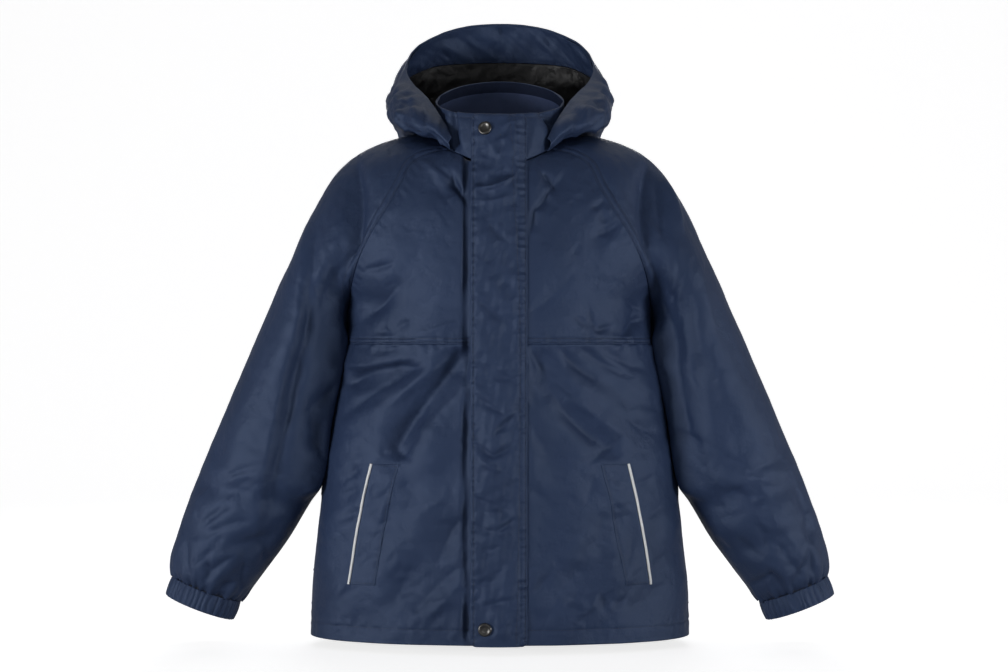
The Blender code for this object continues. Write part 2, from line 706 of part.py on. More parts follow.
def offset_grid(grid, amount):
    """The grid moved along its own surface normal."""
    points = np.array([[list(point) for point in row] for row in grid])
    normal = np.cross(np.gradient(points, axis=1), np.gradient(points, axis=0))
    normal /= np.linalg.norm(normal, axis=2, keepdims=True)
    return [[Vector(point) for point in row] for row in points + normal * amount]


def facing_end(length):
    """Where the facing ends and the lining begins, measured from the brim."""
    return min(HOOD_FACING_DEPTH, 0.5 * length)


def hood_grid():
    """Left half of the hood's outer face: rows from brim to neck seam, columns front to back."""
    sections = [hood_curve(share) for share in spaced(0, 1, HOOD_CELLS)]
    grid = []
    for row in range(FACING_CELLS + LINING_CELLS + 1):
        points = []
        for section in sections:
            length = section[1][-1]
            edge = facing_end(length)
            if row <= FACING_CELLS:
                distance = edge * row / FACING_CELLS
            else:
                distance = edge + (length - edge) * (row - FACING_CELLS) / LINING_CELLS
            points.append(hood_point(section, distance))
        grid.append(points)
    return grid


def across_centre(grid):
    """A left half grid continued over the centre line onto the right half."""
    return [row + other[::-1][1:] for row, other in zip(grid, mirrored(grid))]


def make_hood():
    """Hood of two panels sewn at the centre, with a facing inside the brim and a lining."""
    outer = across_centre(hood_grid())
    layers = [outer]
    for depth in (CLOTH, CLOTH + HOOD_LINING_GAP, CLOTH + HOOD_LINING_GAP + HOOD_INNER_WALL):
        layers.append(offset_grid(outer, depth))
    left = [pull_back([row[:HOOD_CELLS + 1] for row in layer], ("last_column",), SEAM / 2)
            for layer in layers[:2]]
    right = [pull_back([row[HOOD_CELLS:] for row in layer], ("first_column",), SEAM / 2)
             for layer in layers[:2]]
    walled("hood_left", left[0], left[1], "shell")
    walled("hood_right", right[0], right[1], "shell")
    facing = []
    lining = []
    for layer in layers[2:]:
        band = [row[FACING_FROM:-FACING_FROM] for row in layer[:FACING_CELLS + 1]]
        facing.append(pull_back(band, ("last_row",), SEAM / 2))
        band = [row[LINING_FROM:-LINING_FROM] for row in layer[FACING_CELLS:-1]]
        lining.append(pull_back(band, ("first_row",), SEAM / 2))
    walled("hood_facing", facing[0], facing[1], "shell")
    walled("hood_lining", lining[0], lining[1], "lining")


def collar_width(up):
    """Half width of the collar at a height."""
    return (NECK_HALF_WIDTH + (COLLAR_TOP_HALF_WIDTH - NECK_HALF_WIDTH) * up
            + COLLAR_BOW * sin(pi * up))


def layer_y(x, z):
    """Depth of the fronts or the collar, whichever is at this height, beside the zip."""
    x = abs(x)
    turn = degrees(asin(x / NECK_HALF_WIDTH))
    seam_z = neck_ring(turn).z
    if z > seam_z:
        up = (z - seam_z) / (collar_point(turn, 1.0).z - seam_z)
        return collar_point(degrees(asin(x / collar_width(up))), up).y
    level = (seam_z - z) / (seam_z - UNDERARM_Z + CENTRE_DROP)
    if level < 1:
        seam = sleeve_point(level * UNDERARM, -1.0)[0]
        return body_point("front", seam, NECK_FRONT_Z + (z - seam_z), x, level)[0].y
    return body_point("front", side_seam(z), z, x, 1.0)[0].y


def flap_point(u, z):
    """Outer face of the flap; u is 0 at its free edge and 1 where it is sewn on."""
    x = FLAP_RIGHT_X + (FLAP_LEFT_X - FLAP_RIGHT_X) * u
    lift = FLAP_LAY + FLAP_WALL + FLAP_EDGE_LIFT * (1 - u) + FLAP_CROWN * sin(pi * u)
    return Vector((x, layer_y(x, z) - lift, z))


def flap_corner(u):
    """How much a rounded corner of the flap takes from its length at u."""
    half = (FLAP_LEFT_X - FLAP_RIGHT_X) / 2
    into = max(0.0, abs(2 * u - 1) * half - (half - FLAP_CORNER)) / FLAP_CORNER
    return FLAP_CORNER * (1 - (1 - into ** 2) ** 0.5)


def make_flap():
    """Storm flap: a double layer that lies over the zip, its corners rounded."""
    grid = []
    for v in spaced(0, 1, FLAP_CELLS[1]):
        row = []
        for u in spaced(0, 1, FLAP_CELLS[0]):
            top = FLAP_TOP_Z - flap_corner(u)
            bottom = FLAP_BOTTOM_Z + flap_corner(u)
            row.append(flap_point(u, top + (bottom - top) * v))
        grid.append(row)
    cloth("storm_flap", grid, flip=True, wall=FLAP_WALL)


def make_zip():
    """Closed zip between the front edges: two tapes with a raised coil along the middle."""
    foot = ZIP_COIL_HALF_WIDTH + ZIP_COIL_SHOULDER
    columns = ((-ZIP_HALF_WIDTH, 0.0), (-foot, 0.0), (-ZIP_COIL_HALF_WIDTH, ZIP_COIL_RISE),
               (ZIP_COIL_HALF_WIDTH, ZIP_COIL_RISE), (foot, 0.0), (ZIP_HALF_WIDTH, 0.0))
    grid = [[Vector((x, layer_y(x, z) + ZIP_SINK - rise, z)) for x, rise in columns]
            for z in spaced(ZIP_TOP_Z, ZIP_BOTTOM_Z, ZIP_CELLS)]
    cloth("zip", grid, "zip", flip=True, wall=ZIP_WALL)
    bpy.ops.mesh.primitive_cube_add(size=MM)
    slider = bpy.context.object
    slider.name = "zip_slider"
    slider.data.transform(Matrix.Diagonal((*SLIDER_SIZE, 1.0)))
    place = Vector((0, layer_y(0, SLIDER_Z) + ZIP_SINK - ZIP_COIL_RISE - LAY, SLIDER_Z))
    slider.location = (place - Vector((0, SLIDER_SIZE[1] / 2, 0))) * MM
    fall = layer_y(0, SLIDER_Z - SLOPE_STEP) - layer_y(0, SLIDER_Z + SLOPE_STEP)
    slider.rotation_euler.x = atan2(fall, 2 * SLOPE_STEP)
    bevel = slider.modifiers.new("edges", "BEVEL")
    bevel.width = SLIDER_BEVEL * MM
    bevel.segments = 1
    adopt(slider, "snap")


def make_snaps():
    """Caps of the two snaps: turned discs with a raised rim round a shallow dish."""
    u = (SNAP_X - FLAP_RIGHT_X) / (FLAP_LEFT_X - FLAP_RIGHT_X)
    step = SLOPE_STEP / (FLAP_LEFT_X - FLAP_RIGHT_X)
    for word, z in SNAP_Z.items():
        bm = bmesh.new()
        verts = [bm.verts.new((x, 0, height)) for x, height in SNAP_PROFILE]
        for a, b in zip(verts, verts[1:]):
            bm.edges.new((a, b))
        snap = new_object("snap_" + word, bm, "snap")
        screw = snap.modifiers.new("turn", "SCREW")
        screw.steps = 24
        screw.render_steps = 24
        screw.use_merge_vertices = True
        screw.merge_threshold = 0.00001
        along = flap_point(u + step, z) - flap_point(u - step, z)
        down = flap_point(u, z - SLOPE_STEP) - flap_point(u, z + SLOPE_STEP)
        normal = down.cross(along).normalized()
        snap.location = (flap_point(u, z) + normal * SNAP_LAY) * MM
        snap.rotation_euler = normal.to_track_quat("Z", "Y").to_euler()


def welt_point(side, inward, v, out):
    """Point over a lower front, inward from the piped edge; v runs from top to bottom."""
    x = WELT_TOP_X + (WELT_BOTTOM_X - WELT_TOP_X) * v + WELT_BOW * sin(pi * v) - inward
    z = WELT_TOP_Z + (WELT_BOTTOM_Z - WELT_TOP_Z) * v
    point, away = front_surface(x, z, side)
    return point + away * out


def make_pockets():
    """Welt of each slanted pocket, with a piping along its open edge."""
    for side, word in ((-1, "right"), (1, "left")):
        grid = [[welt_point(side, inward, v, LAY + WELT_WALL + WELT_EXTRA)
                 for inward in spaced(0, WELT_WIDTH, WELT_CELLS[1])]
                for v in spaced(0, 1, WELT_CELLS[0])]
        cloth("pocket_welt_" + word, grid, flip=side < 0, wall=WELT_WALL)
        curve = bpy.data.curves.new("piping_" + word, "CURVE")
        curve.dimensions = "3D"
        curve.bevel_depth = PIPING_RADIUS * MM
        curve.bevel_resolution = 2
        curve.use_fill_caps = True
        spline = curve.splines.new("POLY")
        route = [welt_point(side, -PIPING_RADIUS - LAY, v, LAY + WELT_EXTRA + PIPING_RADIUS)
                 for v in spaced(0, 1, 2 * WELT_CELLS[0])]
        spline.points.add(len(route) - 1)
        for spot, point in zip(spline.points, route):
            spot.co = (*(point * MM), 1.0)
        piping = bpy.data.objects.new("piping_" + word, curve)
        bpy.context.scene.collection.objects.link(piping)
        adopt(piping, "piping")


def clear_scene():
    """Remove what the file opened with."""
    for obj in list(bpy.data.objects):
        bpy.data.objects.remove(obj, do_unlink=True)


clear_scene()
COAT = bpy.data.collections.new("kids_raincoat")
bpy.context.scene.collection.children.link(COAT)
make_fronts()
make_back()
make_sleeves()
make_cuffs()
make_collar()
make_hood()
make_flap()
make_zip()
make_snaps()
make_pockets()
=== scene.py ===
# %% [markdown]
# # A child's hooded raincoat
# This lesson builds the look of a small raincoat around a plain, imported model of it. The plain
# model, called the frame here, has the coat's true size and one solid for each sewn piece. Each
# cloth solid is replaced by a fine, thin sheet that follows the same surface, with seams, stitches
# and creases. Sizes are in millimetres, and become metres only where a mesh is made. The front
# looks to -Y, up is +Z, and "left" and "right" are the wearer's.

# %% Load the frame
from math import pi, radians

import bmesh
import bpy
import numpy as np
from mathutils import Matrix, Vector


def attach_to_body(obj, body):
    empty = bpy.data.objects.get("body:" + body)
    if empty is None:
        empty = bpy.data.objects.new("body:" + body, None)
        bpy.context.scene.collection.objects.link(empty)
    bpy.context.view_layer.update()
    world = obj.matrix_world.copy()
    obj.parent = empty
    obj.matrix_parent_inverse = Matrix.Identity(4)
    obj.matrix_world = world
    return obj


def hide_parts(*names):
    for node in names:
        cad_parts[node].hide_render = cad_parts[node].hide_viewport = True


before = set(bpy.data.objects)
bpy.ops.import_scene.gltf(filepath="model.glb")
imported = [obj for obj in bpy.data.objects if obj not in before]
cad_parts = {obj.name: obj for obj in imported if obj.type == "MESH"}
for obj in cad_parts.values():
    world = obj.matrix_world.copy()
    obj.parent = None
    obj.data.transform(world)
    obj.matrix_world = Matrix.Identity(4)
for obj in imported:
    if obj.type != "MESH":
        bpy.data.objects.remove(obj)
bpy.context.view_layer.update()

# %% [markdown]
# The camera comes first, so that every later choice can be judged through it. A long lens, far
# away and level with the middle of the coat, keeps the shape nearly free of perspective, as in a
# shop's picture. Depth of field stays off, so that all of the cloth is sharp.

# %% Camera
CAMERA_LENS, CAMERA_SENSOR = 78.6, 36.0
CAMERA_PLACE = (0.0044, -2.4, -0.2136)


def placed(name, data):
    """A new object in the scene."""
    thing = bpy.data.objects.new(name, data)
    bpy.context.scene.collection.objects.link(thing)
    return thing


camera_data = bpy.data.cameras.new("coat_camera")
camera_data.lens = CAMERA_LENS
camera_data.sensor_width = CAMERA_SENSOR
camera = placed("coat_camera", camera_data)
camera.location = CAMERA_PLACE
camera.rotation_euler = (radians(90), 0, 0)
bpy.context.scene.camera = camera
bpy.context.scene.view_settings.view_transform = "Standard"
print("camera", camera.location[:], "lens", camera_data.lens)

# %% [markdown]
# A plain pale floor runs back and curves up into the wall, so no horizon line shows. Two soft key
# lights stand left and right of the camera at the coat's own height: each grazes the cloth from
# its side, so creases and the flap's edge get a dark side. A grid on each keeps the light on the
# chest, and leaves the hood and the hem a little darker. A weak fill stands beside the camera, a
# rim light and a light from behind draw the edges, and one from above brightens the floor. The
# paper glows for the camera only, so it is near white without lighting the cloth.

# %% Floor, wall and lights
FLOOR_Z = -0.548
PAPER_GLOW = 0.76
WORLD_LIGHT = 0.16
SWEEP = {"front_y": -4.0, "turn_y": 2.2, "radius": 1.6, "top_z": 4.5, "half_width": 5.0,
         "cells": 24}
# name, place, point it faces, size, power, spread; a small spread is a grid on the softbox
LIGHTS = (
    ("key_right", (-2.1, -1.5, -0.25), (0, 0, -0.2), (0.6, 0.6), 6.0, 75),
    ("key_left", (2.2, -1.3, -0.35), (0, 0, -0.22), (0.6, 0.6), 5.2, 75),
    ("fill", (0.1, -2.6, -0.2), (0, 0, -0.2), (0.8, 0.8), 0.8, 75),
    ("rim_left", (2.1, 0.3, 0.3), (0.2, 0, -0.25), (0.6, 1.8), 3.0, 180),
    ("back", (0, 2.6, 0.5), (0, 0, -0.3), (1.6, 0.6), 3.0, 75),
    ("floor_wash", (0, 1.9, 3.0), (0, 1.9, -0.55), (4.0, 1.4), 24.0, 180),
)


def sweep_profile():
    """Side view of the floor as it turns up into the wall."""
    turns = np.linspace(0, pi / 2, SWEEP["cells"])
    curve = [(SWEEP["turn_y"] + SWEEP["radius"] * np.sin(t),
              FLOOR_Z + SWEEP["radius"] * (1 - np.cos(t))) for t in turns]
    return [(SWEEP["front_y"], FLOOR_Z)] + curve + [(curve[-1][0], SWEEP["top_z"])]


def set_inputs(node, values):
    """Set the named inputs of a node."""
    for name, value in values.items():
        node.inputs[name].default_value = value


def new_material(name, values):
    """A material with the named values on its shader; also its node tree and the shader."""
    material = bpy.data.materials.new(name)
    material.use_nodes = True
    shader = material.node_tree.nodes["Principled BSDF"]
    set_inputs(shader, values)
    return material, material.node_tree, shader


profile = sweep_profile()
sweep_mesh = bpy.data.meshes.new("studio_sweep")
sweep_mesh.from_pydata(
    [(side * SWEEP["half_width"], y, z) for y, z in profile for side in (-1, 1)], [],
    [(2 * i, 2 * i + 1, 2 * i + 3, 2 * i + 2) for i in range(len(profile) - 1)])
sweep_mesh.shade_smooth()
placed("studio_sweep", sweep_mesh)
paper, paper_tree, paper_shader = new_material("studio_paper", {
    "Base Color": (0.70, 0.70, 0.71, 1), "Roughness": 0.9, "Specular IOR Level": 0.1,
    "Emission Color": (1, 1, 1, 1)})
seen = paper_tree.nodes.new("ShaderNodeLightPath")
glow = paper_tree.nodes.new("ShaderNodeMath")
glow.operation = "MULTIPLY"
glow.inputs[1].default_value = PAPER_GLOW
paper_tree.links.new(seen.outputs["Is Camera Ray"], glow.inputs[0])
paper_tree.links.new(glow.outputs[0], paper_shader.inputs["Emission Strength"])
sweep_mesh.materials.append(paper)

world = bpy.data.worlds.new("studio_world")
world.use_nodes = True
set_inputs(world.node_tree.nodes["Background"], {"Color": (1, 1, 1, 1), "Strength": WORLD_LIGHT})
bpy.context.scene.world = world
for name, place, aim, size, power, spread in LIGHTS:
    data = bpy.data.lights.new(name, "AREA")
    data.shape = "RECTANGLE"
    data.size, data.size_y = size
    data.energy = power
    data.spread = radians(spread)
    light = placed(name, data)
    light.location = place
    light.rotation_euler = (Vector(aim) - Vector(place)).to_track_quat("-Z", "Y").to_euler()
print("lights:", [row[0] for row in LIGHTS])

# %% [markdown]
# ## The coat's sizes
# The tables below are those of the plain model. Each row is a section of the coat, and each named
# column is one size of that section. A smooth curve through the rows gives the surface between
# them. Typing a few measured sections keeps the coat's cut readable, where thousands of vertices
# would not be.

# %% Sizes and tables of the cut
MM = 0.001
LAY = 0.35
HEM_Z = -537.0
YOKE_Z = -222.0
UNDERARM_Z = -187.0
UNDERARM_X = 165.0
FRONT_EDGE_X = 12.5
BODY_ROUNDNESS = 2.15
CENTRE_DROP = 9.0
ROW_BEND = 1.5

BODY_COLUMNS = "z side front back"
BODY_ROWS = (
    (-537, 206.0, 100.0, 95.0),
    (-480, 204.0, 101.5, 96.0),
    (-430, 198.5, 103.0, 97.0),
    (-388, 194.0, 104.0, 98.0),
    (-342, 188.5, 105.0, 99.0),
    (-305, 182.5, 105.0, 100.0),
    (-262, 174.5, 105.0, 101.0),
    (-220, 167.0, 104.5, 102.0),
    (-187, 163.5, 103.0, 102.0),
    (-150, 163.5, 101.0, 101.0),
    (-100, 163.5, 96.5, 98.0),
    (-60, 163.5, 90.0, 93.0),
    (-39, 163.5, 85.0, 88.0),
    (-15, 163.5, 81.0, 79.0),
    (0, 163.5, 79.0, 71.0),
    (18, 163.5, 76.0, 59.0),
)

NECK_HALF_WIDTH = 66.0
NECK_HALF_DEPTH = 72.0
NECK_CENTRE_Y = -13.0
NECK_FRONT_Z = -39.0
NECK_BACK_Z = 18.0
NECK_RISE = 0.55
RAGLAN_TURN = {"front": 55.0, "back": 140.0}
CROWN_TURN = 100.4
BODY_NECK_SHARE = 1 / 3
SLEEVE_NECK_SHARE = 0.35

SLEEVE_COLUMNS = ("front_x front_z front_start front_depth crown_x crown_z "
                  "back_x back_z back_start back_depth")
SLEEVE_ROWS = (
    (54, -14, 100, 55, 65, 2, 42, 12, 100, 43),
    (75, -19, 105, 62, 95, 4, 70, 2, 105, 62),
    (93, -30, 108, 69, 123, -2, 92, -20, 108, 76),
    (104, -52, 108, 78, 155, -16, 108, -50, 106, 82),
    (117, -75, 105, 82, 177.5, -36, 122, -80, 104, 82),
    (132, -98, 98, 80, 194, -62, 137, -107, 97, 78),
    (147, -126, 80, 74, 212, -97, 150, -134, 78, 70),
    (158, -157, 45, 70, 226, -129, 160, -162, 43, 69),
    (165, -187, 0, 68, 240, -159, 165, -187, 0, 68),
    (169, -220, 0, 68, 254, -191, 169, -220, 0, 68),
    (186, -305, 0, 66, 289, -272, 186, -305, 0, 66),
    (197, -378, 0, 62, 318, -340, 197, -378, 0, 62),
    (211.5, -403, 0, 60, 327, -362, 211.5, -403, 0, 60),
    (230, -434, 0, 57, 340, -396, 230, -434, 0, 57),
    (252, -464, 0, 52, 351.5, -430, 252, -464, 0, 52),
    (270, -487, 0, 44, 358.5, -457, 270, -487, 0, 44),
    (283, -502, 0, 32, 356, -474, 283, -502, 0, 32),
)
UNDERARM_STATION = 8

CUFF_HEIGHT = 22.0
CUFF_RIBS = 36

COLLAR_FRONT_TOP_Z = 21.0
COLLAR_BACK_TOP_Z = 70.0
COLLAR_TOP_RISE = 1.3
COLLAR_TOP_HALF_WIDTH = 70.0
COLLAR_TOP_FRONT_Y = -77.0
COLLAR_TOP_BACK_Y = 61.0
COLLAR_BOW = 2.0
COLLAR_BASE_GAP = 0.65

HOOD_COLUMNS = ("turn tuck_x tuck_y tuck_z low_x low_y low_z out_x out_y out_z "
                "lip_x lip_y lip_z brim_x brim_y brim_z")
HOOD_ROWS = (
    (46, 52, -66, -14, 53, -68, -12, 54, -69, -9, 53, -68, -6, 51, -67, -4),
    (58, 64, -58, -4, 67, -61, 0, 73, -62, 9, 70, -58, 15, 61, -52, 17),
    (74, 78, -46, 4, 88, -50, 3, 101, -46, 20, 96, -36, 34, 78, -22, 43),
    (90, 84, -18, 9, 104, -26, 7, 119, -12, 28, 112, 2, 52, 98, 18, 66),
    (108, 84, 14, 13, 108, 20, 9, 122, 26, 34, 114, 40, 68, 105, 50, 88),
    (132, 70, 66, 13, 96, 98, -14, 116, 98, 14, 109, 94, 80, 92, 88, 115),
    (157, 40, 84, 3, 60, 120, -100, 82, 144, -24, 74, 130, 84, 52, 116, 137),
    (180, 0, 91, -6, 0, 126, -118, 0, 166, -44, 0, 150, 78, 0, 126, 144),
)
HOOD_NECK_OUT = 2.4
HOOD_NECK_UP = 2.2
HOOD_FACING_DEPTH = 45.0
HOOD_LINING_GAP = 0.6
HOOD_SHELL_WALL = 1.2

FLAP_RIGHT_X = -31.0
FLAP_LEFT_X = 29.0
FLAP_TOP_Z = 21.0
FLAP_BOTTOM_Z = -538.5
FLAP_WALL = 1.6
FLAP_CORNER = 6.0
FLAP_EDGE_LIFT = 0.9
FLAP_CROWN = 2.4
FLAP_LAY = 0.5
SNAP_X = -15.5
SNAP_Z = {"top": 5.0, "bottom": -520.0}
SNAP_LAY = 0.45

ZIP_HALF_WIDTH = 12.1
ZIP_TOP_Z = 14.0
ZIP_BOTTOM_Z = -528.0
ZIP_SINK = 0.6

WELT_TOP_Z = -348.5
WELT_BOTTOM_Z = -476.5
WELT_TOP_X = 133.5
WELT_BOTTOM_X = 158.0
WELT_BOW = 2.0
WELT_WIDTH = 27.0
WELT_EXTRA = 0.15
PIPING_RADIUS = 1.4
print("rows of the body, a sleeve and the hood:", len(BODY_ROWS), len(SLEEVE_ROWS), len(HOOD_ROWS))

# %% [markdown]
# The plain model already has the largest folds, each a soft trough between two points. They are
# kept here as they are, so that the fine cloth lies on the plain solid, and the smaller creases
# are added on top of them later.

# %% Largest folds
FRONT_FOLDS = (
    (-38, -235, -106, -328, 5.0, 15),
    (-160, -258, -96, -250, 3.5, 12),
    (-140, -186, -112, -164, 3.0, 12),
    (-95, -470, -60, -400, 2.5, 16),
    (37, -238, 112, -328, 5.0, 14),
    (84, -240, 140, -284, 3.0, 11),
    (104, -109, 130, -88, 3.0, 11),
    (128, -210, 152, -190, 3.0, 11),
    (70, -480, 112, -410, 2.5, 16),
)
BACK_FOLDS = (
    (-30, -240, -120, -330, 4.5, 16),
    (40, -230, 118, -310, 4.0, 15),
    (-140, -190, -100, -165, 3.0, 12),
    (105, -170, 145, -196, 3.0, 12),
    (-60, -400, -85, -500, 3.0, 18),
    (62, -410, 40, -505, 3.0, 18),
)
SLEEVE_FOLDS = (
    (162, -60, 178, -225, 4.5, 18),
    (215, -250, 255, -330, 3.5, 14),
    (222, -395, 322, -372, 4.5, 12),
    (262, -440, 336, -420, 3.0, 11),
    (300, -345, 322, -300, 3.0, 12),
)
SEAM_HOLD = 20.0
YOKE_HOLD = 14.0
HEM_HOLD = (-10.0, 40.0)
FLAP_HOLD = (30.0, 45.0)
NECK_HOLD = 0.2
SLEEVE_NECK_HOLD = 30.0
SLEEVE_END_HOLD = 25.0
SLEEVE_SEAM_HOLD = 0.12
OUTLINE_HOLD = (0.15, 0.7)
CONTACT_GAP = 0.25
CONTACT_END = (-394.0, -376.0)
BODY_LEAN, SLEEVE_LEAN = 0.4, 0.6
LEAN_MOST, LEAN_DEPTH = 4.5, 30.0
SLEEVE_PUSH = 11.0
# where the sleeve is pushed towards the body: depth, width, share, and heights below the neck
PUSHES = ((-31.0, 10.0, 1.0, (190.0, 222.0)), (28.0, 14.0, 0.4, (184.0, 196.0)))

# %% [markdown]
# Two small curves do most of the shaping. `smooth` runs a cubic curve through a table's column,
# at many places in one call, because numpy works on whole arrays far faster than a Python loop
# works on single points. `ease` is a soft step from 0 to 1, for effects that have to fade out.

# %% Curves through the tables
def named_columns(names, rows):
    """The rows of a table as one array for each named column."""
    return {name: np.array([row[i] for row in rows], float)
            for i, name in enumerate(names.split())}


def smooth(at, knots, values):
    """Cubic curve through the values at an array of places."""
    at = np.asarray(at, float)
    slopes = np.gradient(values, knots, axis=0)
    i = np.clip(np.searchsorted(knots, at) - 1, 0, len(knots) - 2)
    span = knots[i + 1] - knots[i]
    t = (at - knots[i]) / span
    if values.ndim > 1:
        t, span = t[..., None], span[..., None]
    return ((1 + 2 * t) * (1 - t) ** 2 * values[i] + t * (1 - t) ** 2 * span * slopes[i]
            + t * t * (3 - 2 * t) * values[i + 1] + t * t * (t - 1) * span * slopes[i + 1])


def ease(value, low, high):
    """0 below low, 1 above high, and a soft step between them."""
    t = np.clip((np.asarray(value, float) - low) / (high - low), 0, 1)
    return t * t * (3 - 2 * t)


def fold_depth(folds, x, z):
    """How deep the listed folds are at places seen from the front or the back."""
    total = np.zeros(np.shape(x))
    for x0, z0, x1, z1, depth, reach in folds:
        length2 = (x1 - x0) ** 2 + (z1 - z0) ** 2
        near = np.clip(((x - x0) * (x1 - x0) + (z - z0) * (z1 - z0)) / length2, 0, 1)
        off2 = (x - x0 - near * (x1 - x0)) ** 2 + (z - z0 - near * (z1 - z0)) ** 2
        total += depth * np.exp(-off2 / reach ** 2)
    return total


def unit(vectors):
    """Vectors made one long."""
    return vectors / np.maximum(np.linalg.norm(vectors, axis=-1, keepdims=True), 1e-9)


def bell(distance, width, power=2):
    """1 at no distance, falling smoothly to 0; a higher power has a flatter top."""
    return np.exp(-(distance / width) ** power)


def distances(line):
    """Distance along a line of points from its first point."""
    steps = np.linalg.norm(np.diff(line, axis=0), axis=1)
    return np.concatenate([[0.0], np.cumsum(steps)])


def read_at(at, run, line):
    """A line's columns read at other distances along it."""
    return np.stack([np.interp(at, run, column) for column in line.T], -1)


BODY = named_columns(BODY_COLUMNS, BODY_ROWS)
SLEEVE = named_columns(SLEEVE_COLUMNS, SLEEVE_ROWS)
HOOD = named_columns(HOOD_COLUMNS, HOOD_ROWS)
print("depth of the front at the yoke:", round(float(smooth(YOKE_Z, BODY["z"], BODY["front"])), 1))

# %% [markdown]
# ## Surfaces of the coat
# The neck seam is an oval that climbs from the front to the back. The sleeve is a raglan: its
# cloth runs up over the shoulder to the neck, so it is lofted through half sections that open
# towards the body. The loft could be made with curve objects and a bevel, but a formula gives
# the same point to the body's panels, so that the two sides of a seam really meet.

# %% Neck and sleeve surfaces
def neck_ring(turn):
    """Points of the neck seam; turn is 0 at the centre front and 180 at the centre back."""
    angle = np.radians(turn)
    rise = ((1 - np.cos(angle)) / 2) ** NECK_RISE
    return np.stack([NECK_HALF_WIDTH * np.sin(angle),
                     NECK_CENTRE_Y - NECK_HALF_DEPTH * np.cos(angle),
                     NECK_FRONT_Z + (NECK_BACK_Z - NECK_FRONT_Z) * rise], -1)


middle = np.column_stack([(SLEEVE["front_x"] + SLEEVE["crown_x"]) / 2,
                          (SLEEVE["front_z"] + SLEEVE["crown_z"]) / 2])
STATIONS = distances(middle)
UNDERARM = STATIONS[UNDERARM_STATION]
SLEEVE_END = STATIONS[-1]


def sleeve_sections(row, across):
    """Points and outward directions on sections, for rows of the table and places across."""
    across = np.asarray(across, float)[None, :]
    in_front = across < 0

    def half(name):
        return np.where(in_front, row["front_" + name][:, None], row["back_" + name][:, None])

    start, depth = np.radians(half("start")), half("depth")
    side = np.where(in_front, -1.0, 1.0)
    angle = pi - np.abs(across) * (pi - start)
    reach_x = (row["crown_x"][:, None] - half("x")) / (1 + np.cos(start))
    reach_z = (row["crown_z"][:, None] - half("z")) / (1 + np.cos(start))
    points = np.stack([row["crown_x"][:, None] - reach_x * (1 + np.cos(angle)),
                       side * depth * np.sin(angle),
                       row["crown_z"][:, None] - reach_z * (1 + np.cos(angle))], -1)
    length = np.hypot(reach_x, reach_z)
    away = np.stack([-reach_x / length * np.cos(angle) * depth, side * np.sin(angle) * length,
                     -reach_z / length * np.cos(angle) * depth], -1)
    return points, unit(away)


def sleeve_surface(downs, across):
    """Left sleeve's outer face and its outward direction, rows down it and columns across."""
    downs = np.asarray(downs, float)
    row = {name: smooth(downs, STATIONS, values) for name, values in SLEEVE.items()}
    closed = downs >= UNDERARM
    for name in ("x", "z", "start"):
        row["back_" + name] = np.where(closed, row["front_" + name], row["back_" + name])
    for half in ("front", "back"):
        row[half + "_start"] = np.where(closed, 0.0, row[half + "_start"])
    points, away = sleeve_sections(row, across)
    near_neck = np.maximum(0.0, 1 - downs / (SLEEVE_NECK_SHARE * UNDERARM)) ** 2
    first = {name: values[:1] for name, values in SLEEVE.items()}
    across = np.asarray(across, float)
    seam_turn = np.where(across < 0, RAGLAN_TURN["front"], RAGLAN_TURN["back"])
    turn = CROWN_TURN + (seam_turn - CROWN_TURN) * np.abs(across)
    shift = neck_ring(turn)[None] - sleeve_sections(first, across)[0]
    return points + shift * near_neck[:, None, None], away


print("sleeve:", round(SLEEVE_END), "mm from the neck to the cuff")

# %% [markdown]
# The body's panels are level sections, a little squarer than an ellipse. Near the neck the rows
# bend to follow the neck seam, and along the shoulder they end on the raglan seam. A row is
# described by its seam point, its height at the centre and how far down the raglan seam it is.

# %% Body surfaces
NECK_Z = {"front": NECK_FRONT_Z, "back": NECK_BACK_Z}


def rung_section(half, seam, centre_z):
    """Depth and half width of the level sections through the rows' seam points."""
    depth = smooth(centre_z, BODY["z"], BODY[half])
    share = np.minimum(np.abs(seam[..., 1]) / depth, 0.98)
    return depth, seam[..., 0] / (1 - share ** BODY_ROUNDNESS) ** (1 / BODY_ROUNDNESS)


def rung_points(half, seam, centre_z, x):
    """Points of body rows before they are bent to the neck seam."""
    sign = -1.0 if half == "front" else 1.0
    depth, side = (v[:, None] for v in rung_section(half, seam, centre_z))
    share = np.minimum(x / side, 1.0)
    y = depth * (1 - share ** BODY_ROUNDNESS) ** (1 / BODY_ROUNDNESS)
    seam_z, seam_x = seam[:, 2][:, None], seam[:, 0][:, None]
    z = centre_z[:, None] + (seam_z - centre_z[:, None]) * (x / seam_x) ** ROW_BEND
    return np.stack([x, sign * y, z], -1)


def body_surface(half, rungs, x):
    """Outer face of one side of a body panel, and the level direction away from the body."""
    seam, centre_z, level = rungs
    points = rung_points(half, seam, centre_z, x)
    depth, side = (v[:, None] for v in rung_section(half, seam, centre_z))
    slope_x = np.minimum(x / side, 1.0) ** (BODY_ROUNDNESS - 1) / side
    slope_y = (np.abs(points[..., 1]) / depth) ** (BODY_ROUNDNESS - 1) / depth
    away = unit(np.stack([slope_x, np.where(points[..., 1] > 0, slope_y, -slope_y),
                          np.zeros_like(x)], -1))
    near_neck = np.maximum(0.0, 1 - level / BODY_NECK_SHARE) ** 2
    top_seam = neck_ring(RAGLAN_TURN[half])
    top_x = x * top_seam[0] / seam[:, 0][:, None]
    turn = np.degrees(np.arcsin(np.minimum(top_x / NECK_HALF_WIDTH, 1.0)))
    flat = rung_points(half, np.repeat(top_seam[None], len(x), 0),
                       np.full(len(x), NECK_Z[half]), top_x)
    bent = neck_ring(turn if half == "front" else 180 - turn)
    return points + (bent - flat) * near_neck[:, None, None], away


